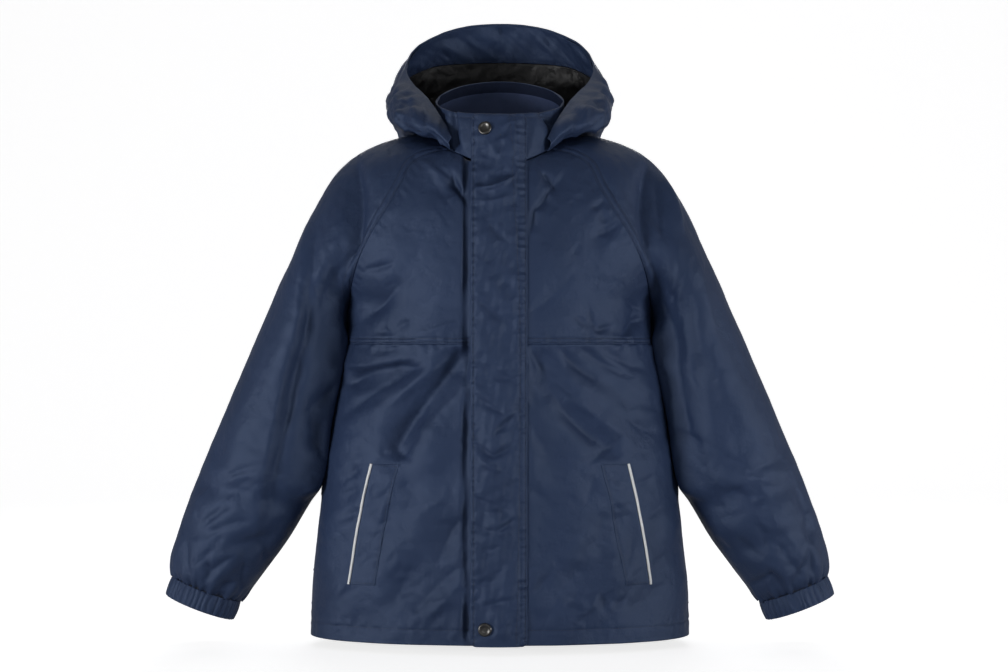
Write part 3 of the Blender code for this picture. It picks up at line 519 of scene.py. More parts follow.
def raglan_rungs(half, count):
    """Rows from the neck to the underarm: seam points, centre heights and levels."""
    downs = np.linspace(0, UNDERARM, count)
    seam = sleeve_surface(downs, [-1.0 if half == "front" else 1.0])[0][:, 0]
    level = downs / UNDERARM
    return seam, NECK_Z[half] + (UNDERARM_Z - CENTRE_DROP - NECK_Z[half]) * level, level


def side_seam_x(z):
    """Where the side seam is below the underarm."""
    x = smooth(z, BODY["z"], BODY["side"])
    return x + (UNDERARM_X - x) * ease(z, UNDERARM_Z - SEAM_HOLD, UNDERARM_Z)


def side_rungs(heights):
    """Rows below the underarm."""
    z = np.asarray(heights, float)
    seam = np.stack([side_seam_x(z), np.zeros_like(z), z], -1)
    return seam, z - CENTRE_DROP * ease(z, YOKE_Z, UNDERARM_Z), np.ones_like(z)


def joined(*rungs):
    """Several sets of rows as one."""
    return tuple(np.concatenate(parts) for parts in zip(*rungs))


inner_line = sleeve_surface(np.linspace(UNDERARM, SLEEVE_END, 120), [-1.0])[0][:, 0]


def closing(points, side, share, push=0.0):
    """Lean the sleeve and the body towards each other, where they hang side by side."""
    y, z = points[..., 1], points[..., 2]
    gap = np.interp(-z, -inner_line[:, 2], inner_line[:, 0]) - side_seam_x(z)
    lean = share * np.clip(gap - CONTACT_GAP, 0, LEAN_MOST) * bell(y, LEAN_DEPTH)
    for depth, width, part, heights in PUSHES:
        lean = lean + part * push * bell(y - depth, width) * ease(-z, *heights)
    return points + (lean * side * ease(z, *CONTACT_END))[..., None] * np.array([1.0, 0, 0])


def body_hold(half, seam_x, x, z, level):
    """How freely a body panel folds: 0 where a seam, the hem or the flap holds it, up to 1."""
    hold = ease(seam_x - x, 0.0, SEAM_HOLD) * ease(level, 0.0, NECK_HOLD)
    hold = hold * ease(z - HEM_Z, *HEM_HOLD)
    if half == "front":
        hold = hold * ease(x, *FLAP_HOLD) * ease(np.abs(z - YOKE_Z), 0.0, YOKE_HOLD)
    return hold


print("side seam at the hem:", round(float(side_seam_x(HEM_Z)), 1))

# %% [markdown]
# The collar and the hood stand on the neck seam. The collar is a plain ruled band with a slight
# bow. The hood is folded down: each section starts at its brim, goes over the lip, round the
# bottom of the roll and back in to the neck seam, and the sections turn round the neck.

# %% Collar and hood surfaces
def collar_surface(turn, up):
    """Outer face of the collar; up is 0 at the neck seam and 1 at the top edge."""
    turn, up = np.broadcast_arrays(np.asarray(turn, float), np.asarray(up, float))
    angle = np.radians(turn)
    base = neck_ring(turn) + np.array([0, 0, COLLAR_BASE_GAP])
    top_y = (COLLAR_TOP_FRONT_Y + COLLAR_TOP_BACK_Y) / 2
    top_half = (COLLAR_TOP_BACK_Y - COLLAR_TOP_FRONT_Y) / 2
    rise = ((1 - np.cos(angle)) / 2) ** COLLAR_TOP_RISE
    top = np.stack([COLLAR_TOP_HALF_WIDTH * np.sin(angle), top_y - top_half * np.cos(angle),
                    COLLAR_FRONT_TOP_Z + (COLLAR_BACK_TOP_Z - COLLAR_FRONT_TOP_Z) * rise], -1)
    out = np.stack([np.sin(angle), -np.cos(angle), np.zeros_like(angle)], -1)
    return base + (top - base) * up[..., None] + out * (COLLAR_BOW * np.sin(pi * up))[..., None]


def hood_sections(shares, samples=160):
    """Smooth sections of the left half hood, each from the brim to the neck seam."""
    stations = np.arange(len(HOOD_ROWS) + 1, dtype=float)
    row = {}
    for name, values in HOOD.items():
        beyond = 360 - values[-2] if name == "turn" else values[-2]
        if name.endswith("_x"):
            beyond = -beyond
        row[name] = smooth(np.asarray(shares) * (len(HOOD_ROWS) - 1), stations,
                           np.append(values, beyond))
    angle = np.radians(row["turn"])
    neck = neck_ring(row["turn"]) + np.stack([np.sin(angle) * HOOD_NECK_OUT,
                                              -np.cos(angle) * HOOD_NECK_OUT,
                                              np.full_like(angle, HOOD_NECK_UP)], -1)
    guides = [neck] + [np.stack([row[name + axis] for axis in ("_x", "_y", "_z")], -1)
                       for name in ("tuck", "low", "out", "lip", "brim")]
    sections = []
    for guide in np.stack(guides, 1)[:, ::-1]:
        knots = distances(guide)
        sections.append(smooth(np.linspace(0, knots[-1], samples), knots, guide))
    return np.array(sections)


print("hood section at the centre back:", round(distances(hood_sections([1.0])[0])[-1]), "mm")

# %% [markdown]
# ## Cloth tools
# Every sheet is a grid of points with rows down the piece and columns across it. A sewn seam
# needs fine cells beside it, for the stitches and the rolled edge, and the middle can be coarser.
# So each grid is recut: its points slide along the rows to places given in millimetres from the
# two edges. A subdivision modifier would refine everything alike and waste faces.

# %% Grids of cloth
def run_along(points, axis):
    """Distance along the cloth from the first row (axis 0) or column (axis 1)."""
    steps = np.linalg.norm(np.diff(points, axis=axis), axis=2)
    start = np.zeros_like(steps[:1] if axis == 0 else steps[:, :1])
    return np.concatenate([start, np.cumsum(steps, axis=axis)], axis=axis)


def places(length, near_start, near_end, cell, typical):
    """Places along a row: at given distances from its ends, and evenly between them."""
    cells = max(2, int(round((typical - near_start[-1] - near_end[-1]) / cell)))
    between = np.linspace(near_start[-1], length - near_end[-1], cells + 1)[1:-1]
    return np.concatenate([near_start, between, length - np.array(near_end[::-1])])


def recut(points, near_start, near_end, cell, axis=1):
    """The same surface with its points slid along the rows (axis 1) or columns (axis 0)."""
    grid = points if axis == 1 else points.swapaxes(0, 1)
    run = run_along(grid, 1)
    typical = float(np.max(run[:, -1]))
    rows = []
    for line, distance in zip(grid, run):
        spots = places(distance[-1], near_start, near_end, cell, typical)
        rows.append(read_at(spots, distance, line))
    cut = np.array(rows)
    return cut if axis == 1 else cut.swapaxes(0, 1)


def recut_both(points, columns, rows, cell, row_cell=None):
    """A surface recut along its rows, then along its columns; each has a near start and end."""
    return recut(recut(points, *columns, cell), *rows, row_cell or cell, axis=0)


def facing(points, flip):
    """Outward direction at each point; rows down and columns towards -X look to -Y."""
    normal = unit(np.cross(np.gradient(points, axis=1), np.gradient(points, axis=0)))
    return -normal if flip else normal


def attach(piece, node=None):
    """Fix a piece to the coat; a plain solid gives way to it."""
    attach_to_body(piece, "root")
    if node:
        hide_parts(node)


def sew(name, points, flip, material, wall=0.7):
    """A sheet of cloth through a grid of points in millimetres, with its cut in a UV map."""
    rows, count = points.shape[:2]
    across, down = run_along(points, 1), run_along(points, 0)
    index = np.arange(rows * count).reshape(rows, count)
    corners = np.stack([index[:-1, :-1], index[:-1, 1:], index[1:, 1:], index[1:, :-1]],
                       -1).reshape(-1, 4)
    if flip:
        corners = corners[:, ::-1]
    mesh = bpy.data.meshes.new(name + "_cloth")
    mesh.from_pydata((points.reshape(-1, 3) * MM).tolist(), [], corners.tolist())
    layer = mesh.uv_layers.new(name="cut")
    cut = np.stack([across.ravel(), down.ravel()], -1) * MM
    layer.uv.foreach_set("vector", cut[corners.ravel()].astype(np.float32).ravel())
    bm = bmesh.new()
    bm.from_mesh(mesh)
    bmesh.ops.remove_doubles(bm, verts=bm.verts, dist=0.00001)
    bm.to_mesh(mesh)
    bm.free()
    mesh.shade_smooth()
    mesh.materials.append(material)
    piece = placed(name + "_cloth", mesh)
    solid = piece.modifiers.new("wall", "SOLIDIFY")
    solid.thickness = wall * MM
    solid.offset = -1.0
    attach(piece, name)
    print(f"{name}: {len(corners)} faces, {down.max():.0f} x {across.max():.0f} mm")
    return piece


# %% [markdown]
# ## Creases, puckers and swells
# Light raincoat cloth never hangs smooth. It has long soft folds from the places that pull, short
# sharp crinkles where it was pressed, and small puckers along every stitched seam. Each named
# crease is one row: where it starts and ends, how far its line bows, its height (below 0 is a
# trough) and its width on either side, which makes one side steeper, as real creases are. Cloth
# simulation could give folds, but not these folds in these places.

# %% Crease shapes
def crease_height(creases, x, z):
    """Height of the listed creases over places seen from the front or the back."""
    total = np.zeros(np.shape(x))
    for x0, z0, x1, z1, bow, height, left, right in creases:
        length = np.hypot(x1 - x0, z1 - z0)
        along = ((x - x0) * (x1 - x0) + (z - z0) * (z1 - z0)) / length ** 2
        aside = ((x - x0) * (z1 - z0) - (z - z0) * (x1 - x0)) / length
        inside = np.clip(along, 0, 1)
        aside = aside - bow * 4 * inside * (1 - inside)
        past = np.maximum(np.abs(along - 0.5) - 0.5, 0) * length
        width = np.where(aside < 0, left, right) * (0.55 + 0.45 * np.sin(pi * inside))
        fade = 0.35 + 0.65 * np.sin(pi * inside) ** 0.6
        fade = fade * bell(past, 0.6 * (left + right))
        total += height * fade * np.exp(-np.abs(aside / width) ** 1.15)
    return total


def waver(along, seed, length, count=6):
    """Irregular waves of roughly the given length, mostly between -1 and 1."""
    draw = np.random.default_rng(seed)
    total = np.zeros(np.shape(along))
    for _ in range(count):
        total += np.sin(2 * pi * (along / (length * draw.uniform(0.6, 1.7)) + draw.uniform()))
    return total / (0.75 * count ** 0.5)


def swell(x, z, seed, length, stretch=1.0, count=9):
    """Soft random hills and hollows; stretch makes them longer along z."""
    draw = np.random.default_rng(seed)
    total = np.zeros(np.shape(x))
    for _ in range(count):
        turn = draw.uniform(0, pi)
        size = length * draw.uniform(0.6, 1.6)
        place = (x * np.cos(turn) + z / stretch * np.sin(turn)) / size
        total += np.sin(2 * pi * (place + draw.uniform()))
    return total / (0.75 * count ** 0.5)


def scattered(patches, seed):
    """Short random creases, for each patch of its own count, spread, length, turn and height."""
    draw = np.random.default_rng(seed)
    creases = []
    for x, z, half_x, half_z, count, length, turn, turn_spread, height in patches:
        for _ in range(count):
            at_x, at_z = draw.normal(x, half_x), draw.normal(z, half_z)
            angle = radians(draw.normal(turn, turn_spread))
            half = length * draw.uniform(0.5, 1.4) / 2
            rise = height * draw.uniform(0.4, 1.3) * draw.choice((-1, 1), p=(0.65, 0.35))
            creases.append((at_x - half * np.cos(angle), at_z - half * np.sin(angle),
                            at_x + half * np.cos(angle), at_z + half * np.sin(angle),
                            draw.normal(0, half * 0.12), rise,
                            draw.uniform(2.5, 5.0), draw.uniform(3.0, 7.0)))
    return creases


ROLL_WIDTH = 1.3
STITCH_DIP, STITCH_DIP_WIDTH = 0.9, 0.9
PUCKER_FREE = 2.0


def seam_relief(distance, along, seed, stitches=(), roll=0.3, pucker=0.7, reach=9.0, every=13.0):
    """Height beside a seam: the edge rolls in, stitches sink in and the cloth puckers."""
    height = -roll * bell(distance, ROLL_WIDTH)
    for place in stitches:
        height = height - STITCH_DIP * bell(distance - place, STITCH_DIP_WIDTH)
    fade = bell(distance, reach) * (1 - bell(distance, PUCKER_FREE))
    return height + pucker * fade * waver(along, seed, every)


print("crease tools ready")

# %% [markdown]
# The crease tables are read from the front of the coat. On the front, long troughs fall from the
# flap's edge towards the side seams below the yoke, and the pockets pull short creases round
# their corners. The back has similar ones of its own, as nobody's back is smooth either.

# %% Crease tables of the body
FRONT_CREASES = (
    (-140, -143, -114, -137, 1, -1.4, 3, 5),
    (-140, -190, -113, -167, 2, -1.8, 7, 9),
    (-107, -206, -95, -198, 0, 1.0, 3, 3),
    (-84, -210, -47, -199, 1, 0.7, 5, 5),
    (-62, -38, -41, -61, -2, -2.0, 4, 7),
    (-50, -42, -36, -71, 2, -2.2, 3, 6),
    (-79, -30, -50, -49, 2, 1.5, 6, 8),
    (-73, -42, -55, -72, 2, -1.0, 6, 10),
    (-160, -245, -96, -236, 4, 3.0, 9, 9),
    (-161, -263, -89, -247, -7, -3.6, 6, 10),
    (-130, -230, -107, -223, 1, -1.2, 3, 4),
    (-99, -234, -113, -251, 0, -1.3, 3, 4),
    (-36, -232, -108, -331, 3, -3.5, 9, 15),
    (-92, -250, -156, -290, 3, -2.2, 10, 16),
    (-31, -264, -82, -322, 4, 1.2, 12, 14),
    (-63, -245, -107, -280, 3, 1.8, 9, 11),
    (-112, -330, -94, -344, 0, -1.3, 3, 3),
    (-109, -343, -95, -330, 0, -1.1, 3, 3),
    (-162, -364, -150, -354, 0, -1.2, 4, 5),
    (-164, -382, -148, -374, 0, -1.2, 4, 5),
    (-167, -407, -149, -397, 1, -1.4, 4, 6),
    (-100, -354, -84, -385, 3, -1.1, 7, 9),
    (-40, -404, -62, -443, 2, -1.8, 6, 10),
    (-38, -454, -90, -504, 3, -1.8, 7, 12),
    (-47, -479, -73, -507, 0, 1.2, 6, 6),
    (-96, -463, -113, -500, 2, -1.0, 8, 8),
    (-172, -489, -155, -448, 2, -1.3, 8, 10),
    (32, -105, 36, -81, -1, -2.2, 3, 4),
    (36, -81, 51, -62, 2, -2.0, 3, 5),
    (51, -62, 68, -42, 1, -1.6, 4, 7),
    (45, -42, 58, -57, 0, -1.4, 3, 4),
    (97, -80, 113, -69, 1, -1.3, 3, 3),
    (104, -107, 130, -89, 2, -1.7, 3, 4),
    (112, -63, 117, -78, 1, -1.0, 3, 3),
    (29, -189, 77, -149, 3, -0.9, 5, 9),
    (80, -193, 95, -213, -2, -1.2, 3, 4),
    (94, -185, 103, -209, 2, -1.3, 3, 3),
    (103, -209, 117, -203, 0, -1.3, 3, 3),
    (131, -212, 142, -199, 1, -1.8, 3, 4),
    (142, -199, 155, -195, 0, -1.4, 3, 4),
    (134, -176, 150, -185, 0, -1.0, 4, 5),
    (30, -228, 79, -276, 4, -2.4, 6, 10),
    (42, -227, 64, -245, 1, -1.2, 4, 6),
    (64, -227, 104, -260, 3, -2.2, 5, 9),
    (84, -224, 136, -255, 3, -2.0, 5, 8),
    (109, -226, 150, -247, 2, -1.6, 4, 7),
    (47, -247, 89, -291, 3, 1.8, 7, 8),
    (58, -276, 116, -332, 5, -2.6, 7, 12),
    (80, -276, 127, -315, 3, 1.6, 8, 8),
    (138, -302, 167, -316, 2, -1.3, 4, 6),
    (146, -276, 169, -293, 2, -1.0, 5, 7),
    (116, -332, 127, -322, 0, -1.4, 3, 3),
    (90, -345, 113, -332, 1, -1.2, 4, 5),
    (100, -362, 92, -385, 0, -0.8, 5, 5),
    (29, -370, 48, -384, 1, -1.2, 4, 6),
    (31, -301, 50, -335, 2, -1.0, 7, 9),
    (146, -370, 165, -362, 1, -1.0, 4, 5),
    (157, -406, 171, -395, 1, -1.0, 5, 6),
    (33, -483, 51, -463, 1, -1.3, 4, 6),
    (80, -510, 105, -481, 2, 1.5, 4, 5),
    (94, -502, 75, -489, 0, -1.1, 4, 4),
    (112, -503, 104, -481, 0, -1.0, 4, 4),
    (117, -505, 130, -490, 0, -1.3, 4, 5),
    (42, -448, 84, -416, 3, -0.9, 9, 12),
    (146, -463, 175, -448, 2, -1.0, 8, 10),
)
# x z half_x half_z count length turn turn_spread height
FRONT_PATCHES = (
    (-120, -212, 22, 6, 9, 14, 30, 40, 0.5),
    (-128, -400, 12, 38, 26, 16, 40, 45, 0.55),
    (-150, -380, 10, 40, 10, 18, 25, 30, 0.5),
    (-60, -500, 24, 12, 9, 22, 50, 30, 0.5),
    (112, -200, 26, 8, 10, 14, 60, 50, 0.5),
    (108, -85, 16, 14, 8, 13, 30, 40, 0.5),
    (122, -400, 12, 40, 28, 16, -40, 45, 0.55),
    (60, -330, 26, 40, 10, 28, -42, 18, 0.6),
    (88, -495, 34, 12, 12, 20, 40, 40, 0.55),
    (-70, -290, 30, 30, 10, 30, 48, 16, 0.6),
    (48, -60, 12, 18, 9, 18, 60, 30, 0.6),
    (-52, -55, 10, 14, 8, 18, -50, 30, 0.6),
)
BACK_CREASES = (
    (-24, -232, -118, -338, 4, -3.0, 9, 15),
    (26, -240, 122, -322, 3, -2.6, 8, 14),
    (-60, -225, -140, -262, 3, -2.0, 6, 10),
    (70, -222, 150, -268, 3, -2.2, 6, 10),
    (-150, -188, -92, -150, 2, -2.2, 6, 9),
    (150, -190, 90, -146, 2, -2.2, 6, 9),
    (-120, -120, -80, -60, 3, -1.4, 8, 12),
    (112, -128, 84, -70, 3, -1.4, 8, 12),
    (-90, -400, -60, -505, 3, -2.0, 9, 14),
    (84, -390, 58, -510, 3, -2.2, 9, 14),
    (-150, -420, -128, -505, 2, -1.8, 8, 12),
    (148, -410, 132, -500, 2, -1.8, 8, 12),
    (10, -330, -16, -470, 4, 1.6, 12, 14),
    (-30, -80, 34, -92, -4, -1.8, 6, 9),
)
BACK_PATCHES = (
    (-100, -300, 40, 50, 12, 26, 48, 22, 0.55),
    (100, -300, 40, 50, 12, 26, -48, 22, 0.55),
    (0, -460, 80, 40, 16, 24, 80, 40, 0.5),
    (0, -120, 60, 40, 10, 22, 10, 30, 0.5),
    (-150, -210, 12, 22, 8, 16, 30, 30, 0.6),
    (150, -210, 12, 22, 8, 16, -30, 30, 0.6),
)
front_creases = list(FRONT_CREASES) + scattered(FRONT_PATCHES, 11)
back_creases = list(BACK_CREASES) + scattered(BACK_PATCHES, 12)
print(len(front_creases), "front creases,", len(back_creases), "back creases")

# %% [markdown]
# ## Materials
# The shell is a plainly woven navy polyester: matt in its threads, with a soft satin shine over
# the folds. Its weave is a small node group, used by the shell, the lining and the flap with
# other values. The group reads the sheet's cut, kept as a UV map in metres, so that the threads
# follow the cloth round the body. It puts out a shade and a height only, and each material keeps
# its own shader.

# %% Node groups
def new_group(name, inputs, outputs):
    """An empty shader node group with float or vector sockets."""
    group = bpy.data.node_groups.new(name, "ShaderNodeTree")
    for socket, kind, value in inputs:
        made = group.interface.new_socket(socket, in_out="INPUT", socket_type=kind)
        if value is not None:
            made.default_value = value
    for socket, kind in outputs:
        group.interface.new_socket(socket, in_out="OUTPUT", socket_type=kind)
    return group, group.nodes.new("NodeGroupInput"), group.nodes.new("NodeGroupOutput")


def math_node(tree, operation, a, b=None, clamp=False):
    """A Math node between sockets or numbers; returns its output socket."""
    node = tree.nodes.new("ShaderNodeMath")
    node.operation = operation
    node.use_clamp = clamp
    for socket, value in zip(node.inputs, (a, b)):
        if value is None:
            continue
        if isinstance(value, (int, float)):
            socket.default_value = value
        else:
            tree.links.new(value, socket)
    return node.outputs[0]


def noise_node(tree, vector, scale, detail=3.0, roughness=0.5):
    """A Noise texture; returns its output socket of values round 0.5."""
    node = tree.nodes.new("ShaderNodeTexNoise")
    tree.links.new(vector, node.inputs["Vector"])
    if isinstance(scale, (int, float)):
        node.inputs["Scale"].default_value = scale
    else:
        tree.links.new(scale, node.inputs["Scale"])
    node.inputs["Detail"].default_value = detail
    node.inputs["Roughness"].default_value = roughness
    return node.outputs["Fac"]


F, V = "NodeSocketFloat", "NodeSocketVector"
weave, weave_in, weave_out = new_group(
    "plain_weave", [("Cut", V, None), ("Threads per metre", F, 2400.0), ("Slub", F, 0.3)],
    [("Height", F), ("Shade", F)])
scaled = weave.nodes.new("ShaderNodeVectorMath")
scaled.operation = "SCALE"
weave.links.new(weave_in.outputs["Cut"], scaled.inputs[0])
weave.links.new(weave_in.outputs["Threads per metre"], scaled.inputs["Scale"])
parted = weave.nodes.new("ShaderNodeSeparateXYZ")
weave.links.new(scaled.outputs[0], parted.inputs[0])
warp = math_node(weave, "SINE", math_node(weave, "MULTIPLY", parted.outputs["X"], 2 * pi))
weft = math_node(weave, "SINE", math_node(weave, "MULTIPLY", parted.outputs["Y"], 2 * pi))
crossing = math_node(weave, "MULTIPLY", warp, weft)
slub = noise_node(weave, weave_in.outputs["Cut"], 420.0, 4.0, 0.6)
slub = math_node(weave, "SUBTRACT", slub, 0.5)
slub = math_node(weave, "MULTIPLY", slub, weave_in.outputs["Slub"])
weave.links.new(math_node(weave, "ADD", math_node(weave, "MULTIPLY", crossing, 0.5), slub),
                weave_out.inputs["Height"])
weave.links.new(math_node(weave, "ADD", 1.0, math_node(weave, "MULTIPLY", slub, 0.5)),
                weave_out.inputs["Shade"])

crumple, crumple_in, crumple_out = new_group(
    "fine_crumple", [("Place", V, None), ("Scale", F, 60.0), ("Sharpness", F, 0.5)],
    [("Height", F)])
broad = noise_node(crumple, crumple_in.outputs["Place"], crumple_in.outputs["Scale"], 4.0)
folded = math_node(crumple, "ABSOLUTE", math_node(crumple, "SUBTRACT", broad, 0.5))
folded = math_node(crumple, "MULTIPLY", folded, crumple_in.outputs["Sharpness"])
crumple.links.new(math_node(crumple, "SUBTRACT", broad, folded), crumple_out.inputs["Height"])
print("groups:", [g.name for g in bpy.data.node_groups])

# %% [markdown]
# One function makes every cloth from the two groups. The threads and the finest crumples are far
# too small to be modelled, so they only tilt the light as bumps; the creases that a hand could
# feel are real relief. Two close colours are mixed softly, because even new cloth has no single
# tone, and the shine is a little bluer than the cloth.

# %% Cloth materials
def group_node(tree, group, values, socket, source):
    """A node for one of the groups, with its values set and one input linked."""
    node = tree.nodes.new("ShaderNodeGroup")
    node.node_tree = group
    set_inputs(node, values)
    tree.links.new(source, node.inputs[socket])
    return node.outputs


def bump_node(tree, height, distance, below=None, strength=1.0):
    """A Bump node that lifts by a distance in millimetres; returns its normal."""
    node = tree.nodes.new("ShaderNodeBump")
    set_inputs(node, {"Strength": strength, "Distance": distance * MM})
    tree.links.new(height, node.inputs["Height"])
    if below is not None:
        tree.links.new(below, node.inputs["Normal"])
    return node.outputs["Normal"]


def ramp_node(tree, factor, dark, light):
    """A ramp from a dark colour to a light one; returns its colour."""
    node = tree.nodes.new("ShaderNodeValToRGB")
    for element, colour in zip(node.color_ramp.elements, (dark, light)):
        element.color = colour
    tree.links.new(factor, node.inputs["Fac"])
    return node.outputs["Color"]


def cloth_material(name, dark, light, roughness, threads, weave_bump, crumple_scale, crumple_bump,
                   specular=0.5, shine=(1, 1, 1, 1)):
    """Woven cloth: colour that varies softly, a weave and fine crumples as bumps."""
    material, tree, shader = new_material(name, {
        "Roughness": roughness, "Specular IOR Level": specular, "Specular Tint": shine})
    cut = tree.nodes.new("ShaderNodeUVMap")
    cut.uv_map = "cut"
    place = tree.nodes.new("ShaderNodeTexCoord").outputs["Object"]
    threaded = group_node(tree, weave, {"Threads per metre": threads}, "Cut", cut.outputs["UV"])
    crumpled = group_node(tree, crumple, {"Scale": crumple_scale}, "Place", place)
    mix = tree.nodes.new("ShaderNodeMix")
    mix.data_type = "RGBA"
    mix.inputs[6].default_value = dark
    mix.inputs[7].default_value = light
    tone = math_node(tree, "MULTIPLY", noise_node(tree, place, 9.0, 2.0), threaded["Shade"],
                     clamp=True)
    tree.links.new(tone, mix.inputs["Factor"])
    tree.links.new(mix.outputs[2], shader.inputs["Base Color"])
    big = bump_node(tree, crumpled["Height"], crumple_bump)
    fine = bump_node(tree, threaded["Height"], weave_bump, big)
    tree.links.new(fine, shader.inputs["Normal"])
    return material


shell = cloth_material(
    "navy_shell", (0.016, 0.027, 0.062, 1), (0.026, 0.043, 0.098, 1), 0.47, 2300.0, 0.05, 55.0,
    1.6, specular=0.4, shine=(0.55, 0.70, 1.0, 1))
black_lining = cloth_material(
    "black_lining", (0.010, 0.010, 0.011, 1), (0.023, 0.023, 0.025, 1), 0.44, 3200.0, 0.03, 90.0,
    2.2, specular=0.35)
collar_lining = cloth_material(
    "collar_lining", (0.034, 0.051, 0.116, 1), (0.048, 0.072, 0.160, 1), 0.6, 2000.0, 0.08, 60.0,
    1.2, specular=0.25)
# a darker copy of the collar lining: painted shade for the top band inside the collar
collar_painted_shade = cloth_material(
    "collar_painted_shade", (0.007, 0.011, 0.028, 1), (0.012, 0.019, 0.044, 1), 0.7, 2000.0, 0.08, 60.0,
    1.2, specular=0.1)
thread, thread_tree, thread_shader = new_material("navy_thread", {"Roughness": 0.55})
twist_place = thread_tree.nodes.new("ShaderNodeTexCoord").outputs["Object"]
twist = noise_node(thread_tree, twist_place, 900.0, 2.0)
twist_tone = ramp_node(thread_tree, twist, (0.005, 0.008, 0.020, 1), (0.016, 0.026, 0.058, 1))
thread_tree.links.new(twist_tone, thread_shader.inputs["Base Color"])
print("materials:", [m.name for m in (shell, black_lining, collar_lining, collar_painted_shade, thread)])

# %% [markdown]
# ## Edges, hems and seams
# A sewn edge is never a bare cut. The cloth turns in at a seam, a hem is turned up inside and
# stitched, and the two sides of a seam roll down into it. These helpers add the turned cloth as
# extra rows or columns, and measure how far each point lies from an edge, so that stitches and
# puckers can follow it.

# %% Edges of a sheet
EDGE = (0.08, 0.9, 1.8, 2.5, 3.5, 4.9, 6.2, 7.1, 8.0, 9.1, 11.0)
PLAIN_EDGE = (0.08, 1.0, 2.2, 4.0)
ROUND = (0.25 * pi, 0.5 * pi, 0.75 * pi)


def beside(points, edge):
    """Distance of each point from one edge of its grid, measured square to that edge."""
    column = edge.endswith("column")
    grid = points if column else points.swapaxes(0, 1)
    if edge.startswith("last"):
        grid = grid[:, ::-1]
    run = run_along(grid, 1)
    slant = np.linalg.norm(np.cross(unit(grid[:, 3] - grid[:, 0]),
                                    unit(np.gradient(grid[:, 0], axis=0))), axis=1)
    apart = run * np.clip(slant, 0.4, 1)[:, None]
    if edge.startswith("last"):
        apart = apart[:, ::-1]
    return apart if column else apart.swapaxes(0, 1)


def raised(points, flip, height):
    """The grid moved along its outward direction."""
    return points + facing(points, flip) * height[..., None]


def turned_in(points, flip, edges, depth=2.5):
    """The grid with a narrow strip that turns in along the named edges."""
    for edge in edges:
        axis = 1 if edge.endswith("column") else 0
        inner = points - facing(points, flip) * depth
        if edge.startswith("first"):
            points = np.concatenate([inner.take([0], axis), points], axis)
        else:
            points = np.concatenate([points, inner.take([-1], axis)], axis)
    return points


def turned_up(points, flip, width, gap=1.5, cell=3.0):
    """The grid with its last row turned up on the inner side, as a hem."""
    inward = -facing(points, flip)[-1]
    down = unit(points[-1] - points[-2])
    rows = []
    for angle in (*ROUND, pi):
        rows.append(points[-1] + inward * gap / 2 * (1 - np.cos(angle))
                    + down * gap / 2 * np.sin(angle))
    run = run_along(points, 0)
    for up in np.arange(cell, width + cell, cell):
        line = [[np.interp(run[-1, i] - up, run[:, i], points[:, i, k]) for k in range(3)]
                for i in range(points.shape[1])]
        rows.append(np.array(line) + inward * gap)
    return np.concatenate([points, np.array(rows)])


def line_beside(points, flip, edge, distance):
    """Line on the sheet at a distance from an edge, with the outward direction along it."""
    apart, normal = beside(points, edge), facing(points, flip)
    if not edge.endswith("column"):
        points, apart, normal = (a.swapaxes(0, 1) for a in (points, apart, normal))
    if edge.startswith("last"):
        points, apart, normal = (a[:, ::-1] for a in (points, apart, normal))
    distance = np.broadcast_to(distance, len(points))
    both = np.concatenate([points, normal], -1)
    line = np.array([[np.interp(d, a, b[:, k]) for k in range(6)]
                     for d, a, b in zip(distance, apart, both)])
    return line[:, :3], unit(line[:, 3:])


print("stitch lines can run", EDGE[2], "and", EDGE[7], "mm from a seam")

# %% [markdown]
# Topstitching is thread, about a quarter of a millimetre thick, that dips into the cloth at each
# needle hole. It is modelled as real little stitches, because a drawn dotted line would stay flat
# when the light grazes it. All stitches of one seam are joined in one mesh, built from a short
# five-sided capsule whose two ends sink into the sheet.

# %% Stitches
STITCH_PITCH = 3.1
STITCH_LENGTH = 2.1
THREAD_RADIUS = 0.26
STITCH_SIDES = 5
STITCH_RINGS = ((-1.0, 0.45, -0.30), (-0.55, 1.0, 0.12), (0.55, 1.0, 0.12), (1.0, 0.45, -0.30))


def stitch_spots(line, normals):
    """Middle, direction and outward direction of each stitch along a line."""
    run = distances(line)
    starts = np.arange(1.5, run[-1] - STITCH_LENGTH - 0.5, STITCH_PITCH)
    head, tail = read_at(starts, run, line), read_at(starts + STITCH_LENGTH, run, line)
    up = unit(read_at(starts + STITCH_LENGTH / 2, run, normals))
    along = unit(tail - head)
    return (head + tail) / 2, along, unit(up - along * np.sum(up * along, -1, keepdims=True))


def stitch_mesh(name, lines):
    """One mesh with the stitches of several lines, each a pair of points and directions."""
    spots = [stitch_spots(*line) for line in lines if len(line[0]) > 2]
    middle, along, up = (np.concatenate(part) for part in zip(*spots))
    aside = np.cross(along, up)
    turns = 2 * pi * np.arange(STITCH_SIDES) / STITCH_SIDES
    rings = []
    for share, swell_by, lift in STITCH_RINGS:
        centre = middle + along * share * STITCH_LENGTH / 2 + up * (lift + 0.02)
        rings.append(np.stack([centre + (aside * np.cos(t) + up * np.sin(t))
                               * THREAD_RADIUS * swell_by for t in turns], 1))
    verts = np.stack(rings, 1).reshape(-1, 3)
    each = len(STITCH_RINGS) * STITCH_SIDES
    capsule = []
    for a in range(0, each - STITCH_SIDES, STITCH_SIDES):
        for i in range(STITCH_SIDES):
            j = (i + 1) % STITCH_SIDES
            b = a + STITCH_SIDES
            capsule.append((a + i, b + i, b + j, a + j))
    capsule += [tuple(range(STITCH_SIDES)), tuple(range(each - STITCH_SIDES, each))[::-1]]
    faces = [tuple(k * each + i for i in face) for k in range(len(middle)) for face in capsule]
    mesh = bpy.data.meshes.new(name)
    mesh.from_pydata((verts * MM).tolist(), [], faces)
    mesh.shade_smooth()
    mesh.materials.append(thread)
    attach(placed(name, mesh))
    print(f"{name}: {len(middle)} stitches")


